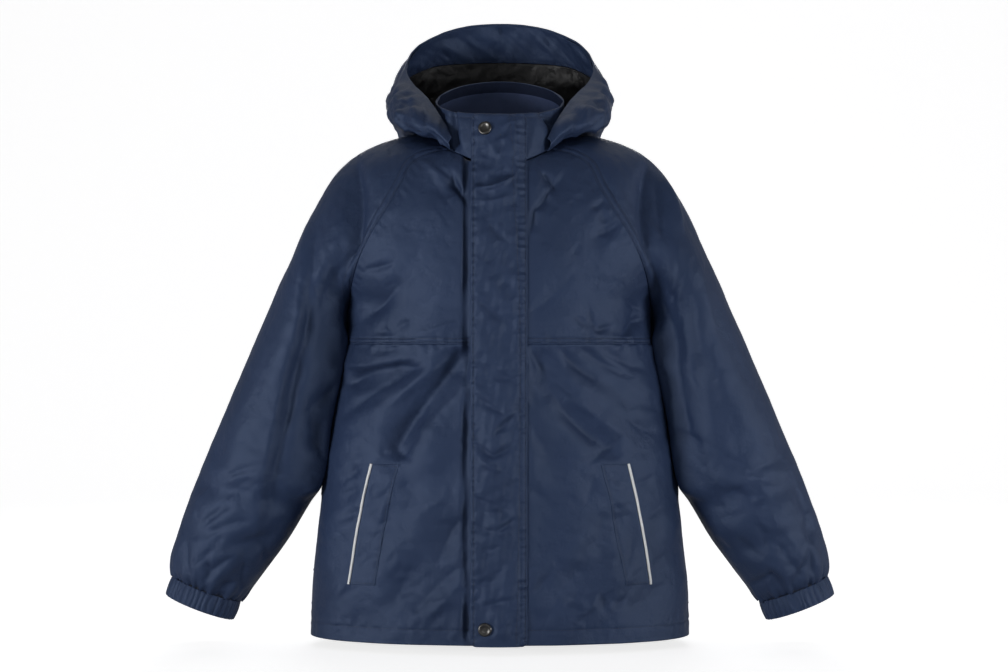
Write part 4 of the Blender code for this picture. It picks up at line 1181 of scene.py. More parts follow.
# %% [markdown]
# ## The fronts
# Each front has an upper piece and a lower piece, parted by the yoke seam across the chest. The
# relief of the cloth is one function of the place on the front, so that the pocket welts, which
# lie on the lower fronts, can follow exactly the same creases. Along the seams the relief dies
# out, because there the cloth is held.

# %% Relief of the fronts
SIDES = ((-1, "right"), (1, "left"))
YOKE_STITCHES = (2.2, 6.2)
RAGLAN_STITCHES = (1.8, 8.0)
HEM_WIDTH = 17.0
HEM_STITCH = 15.5
HEM_CALM, HEM_CALM_WIDTH = 0.75, 14.0
HEM_EDGE = (0.0, 1.0, 3.0, 6.0, 10.0, 13.5, 14.8, 15.6, 16.6, 18.5)
FRONT_CELL, BACK_CELL = 2.8, 4.6
FLAP_PRESS = (27.0, 38.0)
CREASE_GAIN = 2.6
FLAP_GROOVE = 3.8
POCKET_SINK = 0.65


def welt_x(v):
    """Distance of the piped edge from the centre line; v runs from top to bottom."""
    return WELT_TOP_X + (WELT_BOTTOM_X - WELT_TOP_X) * v + WELT_BOW * np.sin(pi * v)


def from_piping(x, z):
    """Distance outward from the piped edge, and distance above or below the pocket."""
    v = np.clip((z - WELT_TOP_Z) / (WELT_BOTTOM_Z - WELT_TOP_Z), 0, 1)
    return np.abs(x) - welt_x(v), np.maximum(z - WELT_TOP_Z, WELT_BOTTOM_Z - z)


def pocket_bed(x, z):
    """Shallow bed that the welt lies in, so that it stands out no more than its own wall."""
    outward, beyond = from_piping(x, z)
    rim = np.minimum(np.minimum(-outward, WELT_WIDTH + outward), -beyond)
    return POCKET_SINK * ease(rim, 0.5, 5.0)


def front_relief(x, z):
    """Creases and soft swells of the fronts at places seen from the front."""
    free = ease(np.abs(x), *FLAP_PRESS)
    outward, beyond = from_piping(x, z)
    inside = ease(-beyond, -6, 4)
    height = CREASE_GAIN * crease_height(front_creases, x, z)
    calm = 0.45 + 0.55 * ease(-z, 190, 260)
    height = height + calm * (1.2 * swell(x, z, 21, 60, 1.4) + 0.22 * swell(x, z, 22, 19))
    height = free * height * (1 - 0.85 * inside * bell(outward, 7))
    return height - 1.2 * inside * bell(outward - 2.8, 1.3)


def flap_groove(x, z):
    """Depth of the soft groove where the front dips in beside the flap's free edge."""
    return (FLAP_GROOVE * (1 + 0.3 * waver(z, 23, 70)) * ease(z - HEM_Z, 0, 12)
            * bell(x - FLAP_RIGHT_X + 3.4, 4.2, 4))


def near_edges(points, edges, reach=5.0, kept=0.0):
    """1 on the open cloth, falling to the share kept at the named edges."""
    hold = np.ones(points.shape[:2])
    for edge in edges:
        hold = np.minimum(hold, 1 - (1 - kept) * bell(beside(points, edge), reach))
    return hold


def folded_panel(half, rungs, side, x):
    """Points of a front or the back, the direction away from it, and its largest folds' depth."""
    seam, _, level = rungs
    points, away = body_surface(half, rungs, x)
    hold = body_hold(half, seam[:, 0][:, None], x, points[..., 2], level[:, None])
    points, away = points * (side, 1, 1), away * (side, 1, 1)
    folds = FRONT_FOLDS if half == "front" else BACK_FOLDS
    return points, away, fold_depth(folds, points[..., 0], points[..., 2]) * hold


def smooth_panel(half, rungs, side, middle_x, cells):
    """Smooth outer face of one side of a panel with its largest folds, before it is recut."""
    seam_x = rungs[0][:, 0][:, None]
    share = np.sin(np.linspace(0, 1, cells)[None, :] * pi / 2) ** 0.9
    x = middle_x + (seam_x - middle_x) * share
    points, away, depth = folded_panel(half, rungs, side, x)
    return closing(points - away * depth[..., None], side, BODY_LEAN * ease(seam_x - x, 60, 5))


upper_rungs = joined(raglan_rungs("front", 90),
                     side_rungs(np.linspace(UNDERARM_Z, YOKE_Z, 12)[1:]))
lower_rungs = side_rungs(np.linspace(YOKE_Z, HEM_Z, 130))
fronts = {}
for side, word in SIDES:
    flip = side > 0
    flat = recut_both(smooth_panel("front", upper_rungs, side, FRONT_EDGE_X, 90),
                      (PLAIN_EDGE, EDGE), (PLAIN_EDGE, EDGE), FRONT_CELL)
    x, z = flat[..., 0], flat[..., 2]
    seams = ("last_column", "last_row", "first_row")
    height = front_relief(x, z) * near_edges(flat, seams[:2])
    height += seam_relief(beside(flat, seams[0]), run_along(flat, 0), 31 + side, pucker=0.4,
                          every=11)
    height -= flap_groove(x, z)
    height += seam_relief(beside(flat, seams[1]), x, 33 + side, YOKE_STITCHES, every=12)
    height += seam_relief(beside(flat, seams[2]), x, 35 + side, pucker=0.4)
    cloth = raised(flat, flip, height)
    fronts["upper_" + word] = cloth
    piece = sew("front_upper_" + word, turned_in(cloth, flip, seams), flip, shell)

for side, word in SIDES:
    flip = side > 0
    flat = recut_both(smooth_panel("front", lower_rungs, side, FRONT_EDGE_X, 90),
                      (PLAIN_EDGE, PLAIN_EDGE), (EDGE[:5], HEM_EDGE), FRONT_CELL)
    x, z = flat[..., 0], flat[..., 2]
    seams = ("last_column", "first_row")
    hem_side = beside(flat, "last_row")
    height = front_relief(x, z) * near_edges(flat, seams)
    height *= near_edges(flat, seams[:1], 24, 0.15)
    height *= 1 - HEM_CALM * bell(hem_side, HEM_CALM_WIDTH)
    height += seam_relief(beside(flat, seams[1]), x, 37 + side, roll=0.4, every=12)
    height -= pocket_bed(x, z) + flap_groove(x, z)
    height += seam_relief(np.abs(hem_side - HEM_STITCH), x, 41 + side, roll=0.5, pucker=0.55,
                          reach=7, every=10)
    cloth = raised(flat, flip, height)
    fronts["lower_" + word] = cloth
    cloth = turned_up(turned_in(cloth, flip, seams), flip, HEM_WIDTH)
    piece = sew("front_lower_" + word, cloth, flip, shell)

# %% [markdown]
# ## The back
# The back is one piece from the neck to the hem. It is made like the fronts, one side at a time,
# and the two sides are joined at the centre line before the cloth is recut. Its creases come from
# a table of their own, so the coat doesn't look the same from both sides.

# %% Back
back_rungs = joined(raglan_rungs("back", 100),
                    side_rungs(np.linspace(UNDERARM_Z, HEM_Z, 150)[1:]))
left_half, right_half = (smooth_panel("back", back_rungs, side, 0.0, 80) for side in (1, -1))
flat = recut_both(np.concatenate([left_half[:, :0:-1], right_half], axis=1),
                  (EDGE[:8], EDGE[:8]), (PLAIN_EDGE, HEM_EDGE), BACK_CELL)
x, z = flat[..., 0], flat[..., 2]
seams = ("first_column", "last_column", "first_row")
hem_side = beside(flat, "last_row")
height = CREASE_GAIN * crease_height(back_creases, x, z)
height += 0.6 * swell(x, z, 51, 70, 1.4) + 0.22 * swell(x, z, 52, 20)
height *= near_edges(flat, seams)
height *= 1 - HEM_CALM * bell(hem_side, HEM_CALM_WIDTH)
for edge, seed in (("first_column", 53), ("last_column", 54)):
    height += (seam_relief(beside(flat, edge), run_along(flat, 0), seed, every=11)
               * (1 - bell(z - UNDERARM_Z - 8, 26, 4)))
height += seam_relief(beside(flat, "first_row"), x, 55, pucker=0.4)
height += seam_relief(np.abs(hem_side - HEM_STITCH), x, 56, roll=0.5, reach=7, every=10)
back_cloth = raised(flat, True, height)
piece = sew("back", turned_up(turned_in(back_cloth, True, seams), True, HEM_WIDTH), True, shell)

# %% [markdown]
# ## The sleeves
# A raglan sleeve runs from the neck to the cuff in one piece. It is open along the body down to
# the underarm, and a tube from there on. Its long folds fall from the shoulder past the armpit,
# and at the forearm they turn into short creases over the bend. At the cuff the cloth is
# gathered: many small pleats start at the seam, and run together and die out up the sleeve.

# %% Crease tables of the sleeves
SLEEVE_CREASES = {
    "right": (
        (-156, -27, -152, -131, -3, -5.0, 10, 13),
        (-152, -122, -183, -175, 2, -3.0, 12, 16),
        (-197, -110, -203, -215, 3, -2.4, 14, 8),
        (-200, -190, -226, -306, 2, -2.8, 15, 8),
        (-223, -290, -246, -400, 1, -2.4, 14, 8),
        (-205, -80, -213, -215, 1, 2.4, 9, 26),
        (-213, -195, -238, -306, 2, 2.6, 9, 26),
        (-236, -285, -258, -410, 1, 2.2, 9, 24),
        (-178, -268, -199, -290, -2, -1.8, 6, 8),
        (-199, -288, -189, -345, 3, -1.8, 7, 9),
        (-164, -135, -172, -228, 2, 1.6, 9, 10),
        (-250, -351, -291, -364, 2, -1.1, 4, 5),
        (-265, -366, -295, -388, 1, -0.9, 4, 6),
        (-285, -392, -311, -410, 2, -1.6, 4, 6),
        (-267, -411, -313, -427, 3, -1.5, 4, 7),
        (-311, -404, -318, -417, 0, -1.2, 3, 4),
        (-252, -430, -291, -443, 2, -1.0, 6, 8),
        (-230, -409, -252, -451, 3, -1.4, 7, 9),
        (-252, -446, -246, -472, 2, -1.6, 5, 6),
        (-337, -435, -335, -469, 1, -2.0, 4, 6),
        (-315, -454, -310, -469, 0, -1.8, 3, 4),
        (-287, -451, -319, -479, 2, -1.8, 4, 5),
        (-284, -480, -303, -487, 1, -1.6, 3, 4),
        (-273, -458, -278, -487, 1, -1.6, 4, 5),
        (-302, -435, -322, -458, 1, -1.0, 5, 7),
    ),
    "left": (
        (161, -27, 155, -122, 3, -4.6, 10, 13),
        (176, -44, 192, -97, -2, 2.6, 5, 8),
        (169, -55, 172, -103, -1, -1.8, 6, 8),
        (193, -97, 225, -199, -3, 1.6, 10, 12),
        (159, -122, 182, -207, 3, -2.4, 14, 16),
        (201, -175, 212, -260, 2, -2.2, 12, 16),
        (182, -207, 201, -313, 2, -2.4, 12, 16),
        (186, -314, 262, -356, -3, -2.0, 5, 16),
        (212, -322, 240, -340, 3, 1.6, 6, 10),
        (235, -385, 261, -373, 1, -1.3, 4, 5),
        (229, -409, 263, -400, 2, -0.9, 5, 6),
        (267, -356, 293, -347, 1, -0.9, 5, 6),
        (320, -379, 331, -407, -2, -2.0, 5, 8),
        (331, -407, 335, -438, 0, -1.6, 5, 7),
        (255, -430, 282, -451, 2, -1.2, 6, 8),
        (270, -483, 292, -468, 1, -1.6, 4, 5),
        (288, -467, 306, -487, -1, -1.8, 4, 5),
        (315, -476, 328, -455, 1, -1.8, 3, 5),
        (333, -444, 338, -474, 0, -2.2, 4, 5),
        (300, -438, 318, -464, 1, -1.3, 4, 6),
    ),
}
# x z half_x half_z count length turn turn_spread height; the left sleeve mirrors them
SLEEVE_PATCHES = (
    (-165, -200, 8, 30, 10, 22, 70, 20, 0.6),
    (-275, -400, 22, 16, 14, 16, 20, 35, 0.55),
    (-300, -440, 16, 14, 12, 16, 50, 35, 0.6),
    (-235, -440, 12, 14, 8, 16, -40, 30, 0.55),
    (-190, -330, 8, 20, 6, 20, 80, 20, 0.5),
)
SLEEVE_BACK_CREASES = (
    (-158, -60, -176, -190, -3, -3.0, 10, 14),
    (-186, -110, -214, -240, 3, -2.4, 12, 16),
    (-182, -230, -232, -300, 3, -2.2, 8, 14),
    (-196, -330, -262, -352, 2, -2.4, 8, 12),
    (-214, -392, -300, -372, 2, -2.6, 7, 12),
    (-236, -430, -318, -412, 2, -1.8, 6, 10),
    (-262, -462, -300, -440, 1, -1.4, 4, 6),
    (-318, -400, -332, -452, 1, -1.8, 5, 8),
    (-246, -250, -280, -330, 2, 1.8, 9, 12),
)
# pleats round the sleeve, their height, and how far up the sleeve they reach
GATHERS = ((36, 1.2, 9), (23, 1.6, 13), (14, 1.7, 22), (9, 1.2, 34))
RAGLAN_FADE = (0.82, 0.94)
RAGLAN_STITCHED = 0.97
CUFF_CALM, CUFF_CALM_WIDTH = 0.8, 12.0
print("sleeve creases:", {side: len(rows) for side, rows in SLEEVE_CREASES.items()})

# %% [markdown]
# Both sleeves start from one smooth grid, and each gets creases of its own. The gathers are waves
# round the sleeve: fine ones that end close to the cuff and wide ones that reach further up, so
# that the pleats seem to run together. A simple ring of equal pleats would look like a machine
# part.

# %% Sleeves
def gathered(share, distance, seed):
    """Height of the gathers above a cuff, at a share of the girth and a distance up the sleeve."""
    draw = np.random.default_rng(seed)
    height = np.zeros(np.shape(share))
    for count, rise, reach in GATHERS:
        drift = sum(draw.uniform(-0.5, 0.5) / k * np.sin(2 * pi * (k * share + draw.uniform()))
                    for k in (1, 2, 3))
        uneven = 0.65 + 0.35 * np.sin(2 * pi * (share * draw.integers(3, 7) + draw.uniform()))
        wave = np.cos(2 * pi * count * share + drift * 4 + distance / (reach * 2.5))
        height += rise * uneven * wave * np.exp(-(distance / reach) ** 1.3)
    return height + 0.8 * bell(distance - 9, 7) - 0.4 * bell(distance, 2)


def smooth_sleeve():
    """Smooth outer face of the left sleeve with its largest folds, before it is recut."""
    downs = np.concatenate([np.linspace(0, UNDERARM, 90),
                            np.linspace(UNDERARM, SLEEVE_END, 170)[1:]])
    across = np.linspace(-1, 1, 181)
    points, away = sleeve_surface(downs, across)
    hold = ease(1 - np.abs(across), 0, SLEEVE_SEAM_HOLD)[None]
    hold = hold * ease(np.abs(away[..., 1]), *OUTLINE_HOLD)
    ends = ease(SLEEVE_END - downs, 0, SLEEVE_END_HOLD) * ease(downs, 0, SLEEVE_NECK_HOLD)
    depth = fold_depth(SLEEVE_FOLDS, points[..., 0], points[..., 2]) * (hold * ends[:, None])
    points = points - away * depth[..., None]
    toward_body = ease(-away[..., 0], 0.2, 0.8)
    return closing(points, -1, SLEEVE_LEAN * toward_body, SLEEVE_PUSH * toward_body)


sleeve_flat = recut_both(smooth_sleeve(), (EDGE, EDGE),
                         (PLAIN_EDGE, (0.2, 1.0, 2.0, 3.2, 4.6, 6.2, 8.0, 10.0, 12.0)), 3.3, 3.5)
sleeves = {}
for side, word in SIDES:
    flip = side > 0
    flat = sleeve_flat * (side, 1, 1)
    x, z = flat[..., 0], flat[..., 2]
    normal = facing(flat, flip)
    mirror_patches = [(px * -side, pz, hx, hz, n, length, turn * -side, spread, rise)
                      for px, pz, hx, hz, n, length, turn, spread, rise in SLEEVE_PATCHES]
    front_rows = list(SLEEVE_CREASES[word]) + scattered(mirror_patches, 60 + side)
    back_rows = [(x0 * -side, z0, x1 * -side, z1, bow * -side, rise, left, right)
                 for x0, z0, x1, z1, bow, rise, left, right in SLEEVE_BACK_CREASES]
    height = CREASE_GAIN * (
        crease_height(front_rows, x, z) * ease(-normal[..., 1], 0.0, 0.55)
        + crease_height(back_rows, x, z) * ease(normal[..., 1], 0.0, 0.55))
    run, girth = run_along(flat, 0), run_along(flat, 1)
    soft = 0.6 * swell(girth, run, 62 + side, 60, 1.6) + 0.2 * swell(girth, run, 64 + side, 18)
    height += soft * (0.3 + 0.7 * np.abs(normal[..., 1]))
    seams = ("first_column", "last_column")
    height *= near_edges(flat, seams)
    to_cuff = beside(flat, "last_row")
    height *= 1 - CUFF_CALM * bell(to_cuff, CUFF_CALM_WIDTH)
    for edge, seed in zip(seams, (66, 68)):
        relief = seam_relief(beside(flat, edge), run, seed + side, RAGLAN_STITCHES, pucker=0.4,
                             every=11)
        height += relief * (1 - ease(run, *(UNDERARM * share for share in RAGLAN_FADE)))
    height += seam_relief(beside(flat, "first_row"), girth, 70 + side, pucker=0.3)
    height += gathered(girth / girth[:, -1:], to_cuff, 72 + side)
    sleeves[word] = raised(flat, flip, height)
    # the last rows run on under the cuff, so that no gap shows between its ribs
    inward, beyond = -normal[-1:], unit(flat[-1:] - flat[-2:-1])
    tucked = np.concatenate([sleeves[word], flat[-1:] + inward * 3.0 + beyond,
                             flat[-1:] + inward * 3.4 + beyond * 6])
    piece = sew("sleeve_" + word, turned_in(tucked, flip, seams + ("first_row",)), flip, shell)

# %% [markdown]
# ## The cuffs
# Each cuff is a band with an elastic inside, so its cloth stands in about three dozen narrow
# ribs, none quite like the next. The ribs are sharp in their valleys, where the elastic pulls, and
# round on top. A bump map could draw them, but they show in the outline, so they are real.

# %% Cuffs
CUFF_LEVELS = np.array([0.4, 0.9, 1.8, 3.2, 5, 7, 9, 11, 13, 15, 17, 18.8, 20.2, 21.1, 21.6])


def slow_waves(draw, share, size, counts):
    """Sum of slow waves round a ring, each with a height and a start of its own."""
    return sum(draw.uniform(-size, size) * np.sin(2 * pi * (k * share + draw.uniform()))
               for k in counts)


def cuff_band(side, seed, per_rib=8):
    """Smooth ring of a cuff and its ribs' height, rows down the band and columns round it."""
    last = {name: values[-1] for name, values in SLEEVE.items()}
    inner = np.array([last["front_x"], 0, last["front_z"]])
    outer = np.array([last["crown_x"], 0, last["crown_z"]])
    across = unit(outer - inner)
    down = np.array([across[2], 0, -across[0]])
    half, depth = np.linalg.norm(outer - inner) / 2, last["front_depth"]
    angle = np.linspace(0, 2 * pi, 721)
    ring = (inner + outer) / 2 - np.outer(np.cos(angle) * half, across)
    ring[:, 1] -= depth * np.sin(angle)
    run = distances(ring)
    at = np.linspace(0, run[-1], CUFF_RIBS * per_rib + 1)
    points = read_at(at, run, ring)[None] + down * CUFF_LEVELS[:, None, None]
    draw = np.random.default_rng(seed)
    share, belly = at / run[-1], np.sin(pi * CUFF_LEVELS / CUFF_HEIGHT)[:, None]
    drift = slow_waves(draw, share, 0.3, (2, 3, 5, 8))
    lean = slow_waves(draw, share, 0.25, (3, 7, 11, 16))
    phase = (CUFF_RIBS * share + drift * 0.8)[None] + lean[None] * belly
    tall = 0.75 + 0.25 * np.sin(2 * pi * (9 * share + draw.uniform())) * np.sin(2 * pi * 5 * share)
    rib = np.abs(np.sin(pi * phase)) ** 0.75 * tall
    height = rib * (0.62 + 0.38 * belly ** 0.5) * 2.1 - 0.5 + 0.5 * belly
    return points * (side, 1, 1), height


for side, word in SIDES:
    ring, height = cuff_band(side, 81 + side)
    outer = raised(ring, side > 0, height)
    inward = -facing(ring, side > 0)
    top = ring[:1] + inward[:1] * 1.6
    bottom = ring[-1:] + inward[-1:] * 1.2 + (ring[-1:] - ring[-2:-1]) * 0.7
    inside = [ring[k:k + 1] + inward[k:k + 1] * 1.8 for k in (12, 8, 4, 1)]
    band = np.concatenate([top, outer, bottom] + inside)
    band[:, -1] = band[:, 0]
    piece = sew("cuff_" + word, band, side > 0, shell, wall=0.5)

# %% [markdown]
# ## The collar
# The stand collar is a double band: one sheet runs up its outer face, folds over the top edge and
# comes down inside. Sewing it as one folded sheet gives the soft, rounded top edge that two flat
# layers side by side would lack.

# %% Collar
COLLAR_THICK = 1.7
COLLAR_STITCH = 4.8
# depth of the top band inside the collar that takes the painted shade
COLLAR_SHADE_BAND = 14.5
COLLAR_CREASES = (
    # along down, from the left front edge round the neck and from the top edge
    (16, 4, 12, 54, 1, -1.4, 4, 6),
    (30, 6, 22, 50, -2, 1.2, 6, 8),
    (60, 10, 70, 60, 2, -1.0, 8, 10),
    (150, 8, 170, 60, 2, -1.0, 10, 14),
    (235, 8, 226, 62, 2, -1.1, 10, 14),
    (330, 10, 322, 60, 2, -1.0, 8, 10),
    (372, 6, 380, 50, 2, 1.2, 6, 8),
    (385, 4, 390, 54, 1, -1.6, 4, 6),
)
# Folds of the whole collar: distance from its left or right front edge, and down from its top.
COLLAR_FOLDS = {
    "right": (
        (42, -6, 39, 58, 2, -11.0, 4, 4),
        (34, 2, 33, 50, -2, 2.0, 4, 4),
        (60, -4, 64, 40, 0, -3.5, 6, 8),
    ),
    "left": (
        (18, -3, 43, 31, 3, 1.8, 4, 5),
        (43, 31, 71, 39, -1, 1.4, 4, 5),
        (30, -6, 60, 28, 3, -11.0, 5, 6),
        (58, 26, 74, 34, 0, -3.0, 5, 4),
        (64, -4, 60, 24, 0, -3.0, 6, 6),
    ),
}
edge_turn = float(np.degrees(np.arcsin(FRONT_EDGE_X / NECK_HALF_WIDTH)))
turns = np.linspace(edge_turn, 360 - edge_turn, 240)
flat = collar_surface(turns[None, :], np.linspace(1, 0, 60)[:, None])
flat = recut_both(flat, ((0.0, 0.8, 2.0), (0.0, 0.8, 2.0)),
                  ((0.0, 0.8, 1.8, 3.0, 4.4, 5.2, 6.2), (0.0, 1.0, 2.2)), 3.2, 3.0)
along, down = run_along(flat, 1), run_along(flat, 0)
folds = crease_height(COLLAR_FOLDS["left"], along, down)
folds += crease_height(COLLAR_FOLDS["right"], along[:, -1:] - along, down)
flat = raised(flat, True, folds * ease(beside(flat, "last_row"), 0, 12))
height = crease_height(COLLAR_CREASES, along, down) + 0.3 * swell(along, down, 91, 30)
height += seam_relief(beside(flat, "last_row"), along, 92, pucker=0.3)
height -= 0.35 * bell(beside(flat, "first_row") - COLLAR_STITCH, 1.2)
collar_outer = raised(flat, True, np.maximum(height, -0.55))
inner = flat - facing(flat, True) * COLLAR_THICK
inner_height = 0.5 * swell(along, down, 93, 34) + 0.9 * ease(15.2 - down, 0, 1.6)
inner = inner - facing(flat, True) * np.maximum(inner_height, -0.1)[..., None]
fold = []
top_out, top_in = collar_outer[:1], inner[:1]
for angle in ROUND:
    middle_line = (top_out + top_in) / 2 + (top_out - top_in) / 2 * np.cos(angle)
    fold.append(middle_line + np.array([0, 0, COLLAR_THICK / 2 * np.sin(angle)]))
collar_cloth = np.concatenate([inner[::-1]] + fold[::-1] + [collar_outer])
piece = sew("collar", collar_cloth, True, shell, wall=0.5)
# The inside takes the collar lining, and its top 14.5 mm a darker copy of it, which is painted
# shade.
piece.data.materials.append(collar_lining)
piece.data.materials.append(collar_painted_shade)
row_faces = inner.shape[1] - 1
lined_rows = len(inner) - int(np.sum(down[:, 0] < COLLAR_SHADE_BAND))
for face in piece.data.polygons[:(len(inner) - 1) * row_faces]:
    face.material_index = 1 if face.index < lined_rows * row_faces else 2

# %% [markdown]
# ## The hood
# The hood is two shaped panels with a seam over the middle. It lies folded down: its back sags in
# a deep roll behind the collar, its sides rest on the shoulders and its brim stands up. Inside the
# brim is a band of the shell cloth, the facing, and below that the thin black lining, which is a
# little too large, so it crumples. The three layers are made from the same sections, each moved
# inward by the cloth that lies outside it, so they can't cut through one another.

# %% Crease tables of the hood
# along (from the front corner to the centre back) and down (from the brim), for the left half
HOOD_CREASES = (
    (12, 48, 52, 14, 4, -1.5, 4, 8),
    (26, 66, 74, 34, -4, -1.5, 4, 9),
    (64, 20, 88, 52, 3, -1.2, 4, 7),
    (40, 85, 95, 55, 5, -2.0, 6, 11),
    (75, 110, 140, 70, 4, -1.8, 8, 12),
    (60, 55, 110, 25, 3, 1.4, 7, 9),
    (120, 120, 190, 95, 4, -2.2, 9, 13),
    (150, 60, 200, 110, -4, -1.8, 8, 12),
    (210, 40, 225, 120, 3, -1.8, 9, 12),
    (180, 150, 240, 190, 4, -2.4, 9, 14),
    (240, 90, 250, 200, 3, -1.6, 9, 14),
    (200, 205, 250, 235, 3, -2.0, 8, 12),
    (110, 20, 122, 60, 2, -1.0, 5, 7),
)
HOOD_PATCHES = (
    (50, 70, 36, 30, 44, 16, 20, 50, 1.0),
    (95, 40, 30, 16, 14, 16, 10, 30, 0.5),
    (130, 100, 40, 20, 12, 20, 30, 30, 0.5),
    (220, 150, 30, 40, 12, 24, 60, 40, 0.5),
)
hood_creases = list(HOOD_CREASES) + scattered(HOOD_PATCHES, 95)
HOOD_FACING_FROM, HOOD_LINING_FROM = 1 / 12, 3 / 12
HOOD_UNDER = HOOD_SHELL_WALL + HOOD_LINING_GAP + 0.9
HOOD_GAIN, HOOD_MOST = 3.0, 4.5
LINING_END = 22.0
HOOD_STITCHES = (2.2,)
print(len(hood_creases), "hood creases")

# %% [markdown]
# The outer cloth of the hood. Its brim is rolled over in four extra rows and tucked behind the
# facing, as a sewn brim is. Its creases are held back where the facing and the lining lie close
# below it. A solid made by lofting would be quicker, but its edge would be a bare cut.

# %% Hood shell
def facing_depth(length):
    """Depth of the facing inside the brim, for sections of a given length."""
    return np.minimum(HOOD_FACING_DEPTH, 0.5 * length)


hood_flat = recut_both(hood_sections(np.linspace(0, 1, 140)).swapaxes(0, 1),
                       ((0.0, 1.0, 2.4), (0.2, 0.9, 1.8, 2.8, 4.0, 5.4)),
                       ((0.0, 0.8, 2.0, 3.4), (0.0, 1.0, 2.2)), 3.5)
hood_layers = {}
for side, word in SIDES[::-1]:
    flip = side > 0
    flat = hood_flat * (side, 1, 1)
    along, down = run_along(flat, 1), run_along(flat, 0)
    seams = ("last_column", "last_row")
    height = HOOD_GAIN * crease_height(hood_creases, along, down)
    height += 0.8 * swell(along, down, 96 + side, 50) + 0.5 * swell(along, down, 99 + side, 17)
    height *= near_edges(flat, seams) * near_edges(flat, ("first_row",), 8, 0.3)
    # troughs are held back where the facing and the lining lie close under the shell
    below = down - facing_depth(down[-1])[None]
    limit = 0.5 + 1.7 * ease(below, 4, 22)
    height = height + 2.2 * ease(down, 4, 20) * (1 - ease(below, 4, 30))
    height = np.where(height < 0, -limit * (1 - np.exp(height / limit)),
                      np.minimum(height, HOOD_MOST))
    height += (seam_relief(beside(flat, seams[0]), down, 101 + side, HOOD_STITCHES, every=11)
               * ease(down, 4, 16))
    height += seam_relief(beside(flat, seams[1]), along, 103 + side, pucker=0.6, every=12)
    cloth = raised(flat, flip, height)
    hood_layers[word] = cloth
    inward, beyond = -facing(cloth, flip)[0], unit(cloth[0] - cloth[1])
    brim = [cloth[0] + inward * (1 - np.cos(a)) + beyond * np.sin(a)
            for a in (pi, *ROUND[::-1])]
    tucked = cloth[2] + inward * 2.0
    piece = sew("hood_" + word, turned_in(np.concatenate([[tucked], brim, cloth]), flip, seams),
                flip, shell)

# %% [markdown]
# The facing and the lining are bands of the same sections, between two places along each. One
# function cuts such a band, and another sinks it under the shell and sews it. Making them from
# the shell's own sections keeps the distance between the layers the same all round the neck.

# %% Hood facing and lining
def hood_band(first_share, ends, cell, row_cell, rows):
    """Smooth band over both halves of the hood, between two places along each section."""
    part = hood_sections(np.linspace(first_share, 1, 150), 240)
    left = np.array([read_at(np.linspace(*ends(run[-1]), 120), run, line)
                     for line, run in zip(part, run_along(part, 1))]).swapaxes(0, 1)
    whole = np.concatenate([left, (left * (-1, 1, 1))[:, ::-1][:, 1:]], axis=1)
    return recut_both(whole, ((0.0, 1.2, 3.0), (0.0, 1.2, 3.0)), rows, cell, row_cell)


def sew_inside(name, flat, height, under, material, wall, edge):
    """A layer inside the hood, sunk under the shell and turned in along one edge."""
    base = flat - facing(flat, True) * np.asarray(under)[..., None]
    cloth = raised(base, False, height)
    piece = sew(name, turned_in(cloth, False, (edge,)), False, material, wall=wall)
    return cloth


facing_flat = hood_band(HOOD_FACING_FROM, lambda length: (0.8, facing_depth(length)), 2.8, 2.4,
                        ((0.0, 0.8, 2.0), (0.2, 0.9, 1.8, 2.8)))
along, down = run_along(facing_flat, 1), run_along(facing_flat, 0)
height = 0.9 * swell(along, down, 112, 40) + 0.4 * swell(along, down, 111, 16)
height += 0.3 * waver(along, 113, 15) * ease(down, 8, 30)
height *= near_edges(facing_flat, ("first_row", "last_row"), 5, 0.3)
height += seam_relief(beside(facing_flat, "last_row"), along, 114, HOOD_STITCHES, roll=1.2,
                      pucker=0.8, every=9)
facing_cloth = sew_inside("hood_facing", facing_flat, height + 0.5, HOOD_UNDER, shell, 0.5,
                          "last_row")

lining_flat = hood_band(HOOD_LINING_FROM,
                        lambda length: (facing_depth(length), length - LINING_END),
                        3.3, 3.3, ((0.2, 1.0, 2.0), (0.0, 1.2, 3.0)))
along, down = run_along(lining_flat, 1), run_along(lining_flat, 0)
ridges = (1.1 - np.abs(swell(along, down, 121, 30)) * 1.2
          + 0.6 - np.abs(swell(along, down, 122, 13)) * 0.7)
height = np.maximum(ridges, -0.5)
height += 0.8 * waver(along + 0.2 * down, 123, 12) * bell(down, 12)
height *= near_edges(lining_flat, ("first_row", "last_row", "first_column", "last_column"), 5, 0.1)
sew_inside("hood_lining", lining_flat, height + 0.3, HOOD_UNDER + 1.8 * ease(down, 3, 20),
           black_lining, 0.4, "first_row")

# %% [markdown]
# ## The storm flap
# A double strip of cloth covers the zip. It is sewn on along the wearer's left edge with two
# stitch lines, and its other edge is free and held by two snaps. The cloth between the two
# stitch lines puckers, because each line pulls it in a little differently.

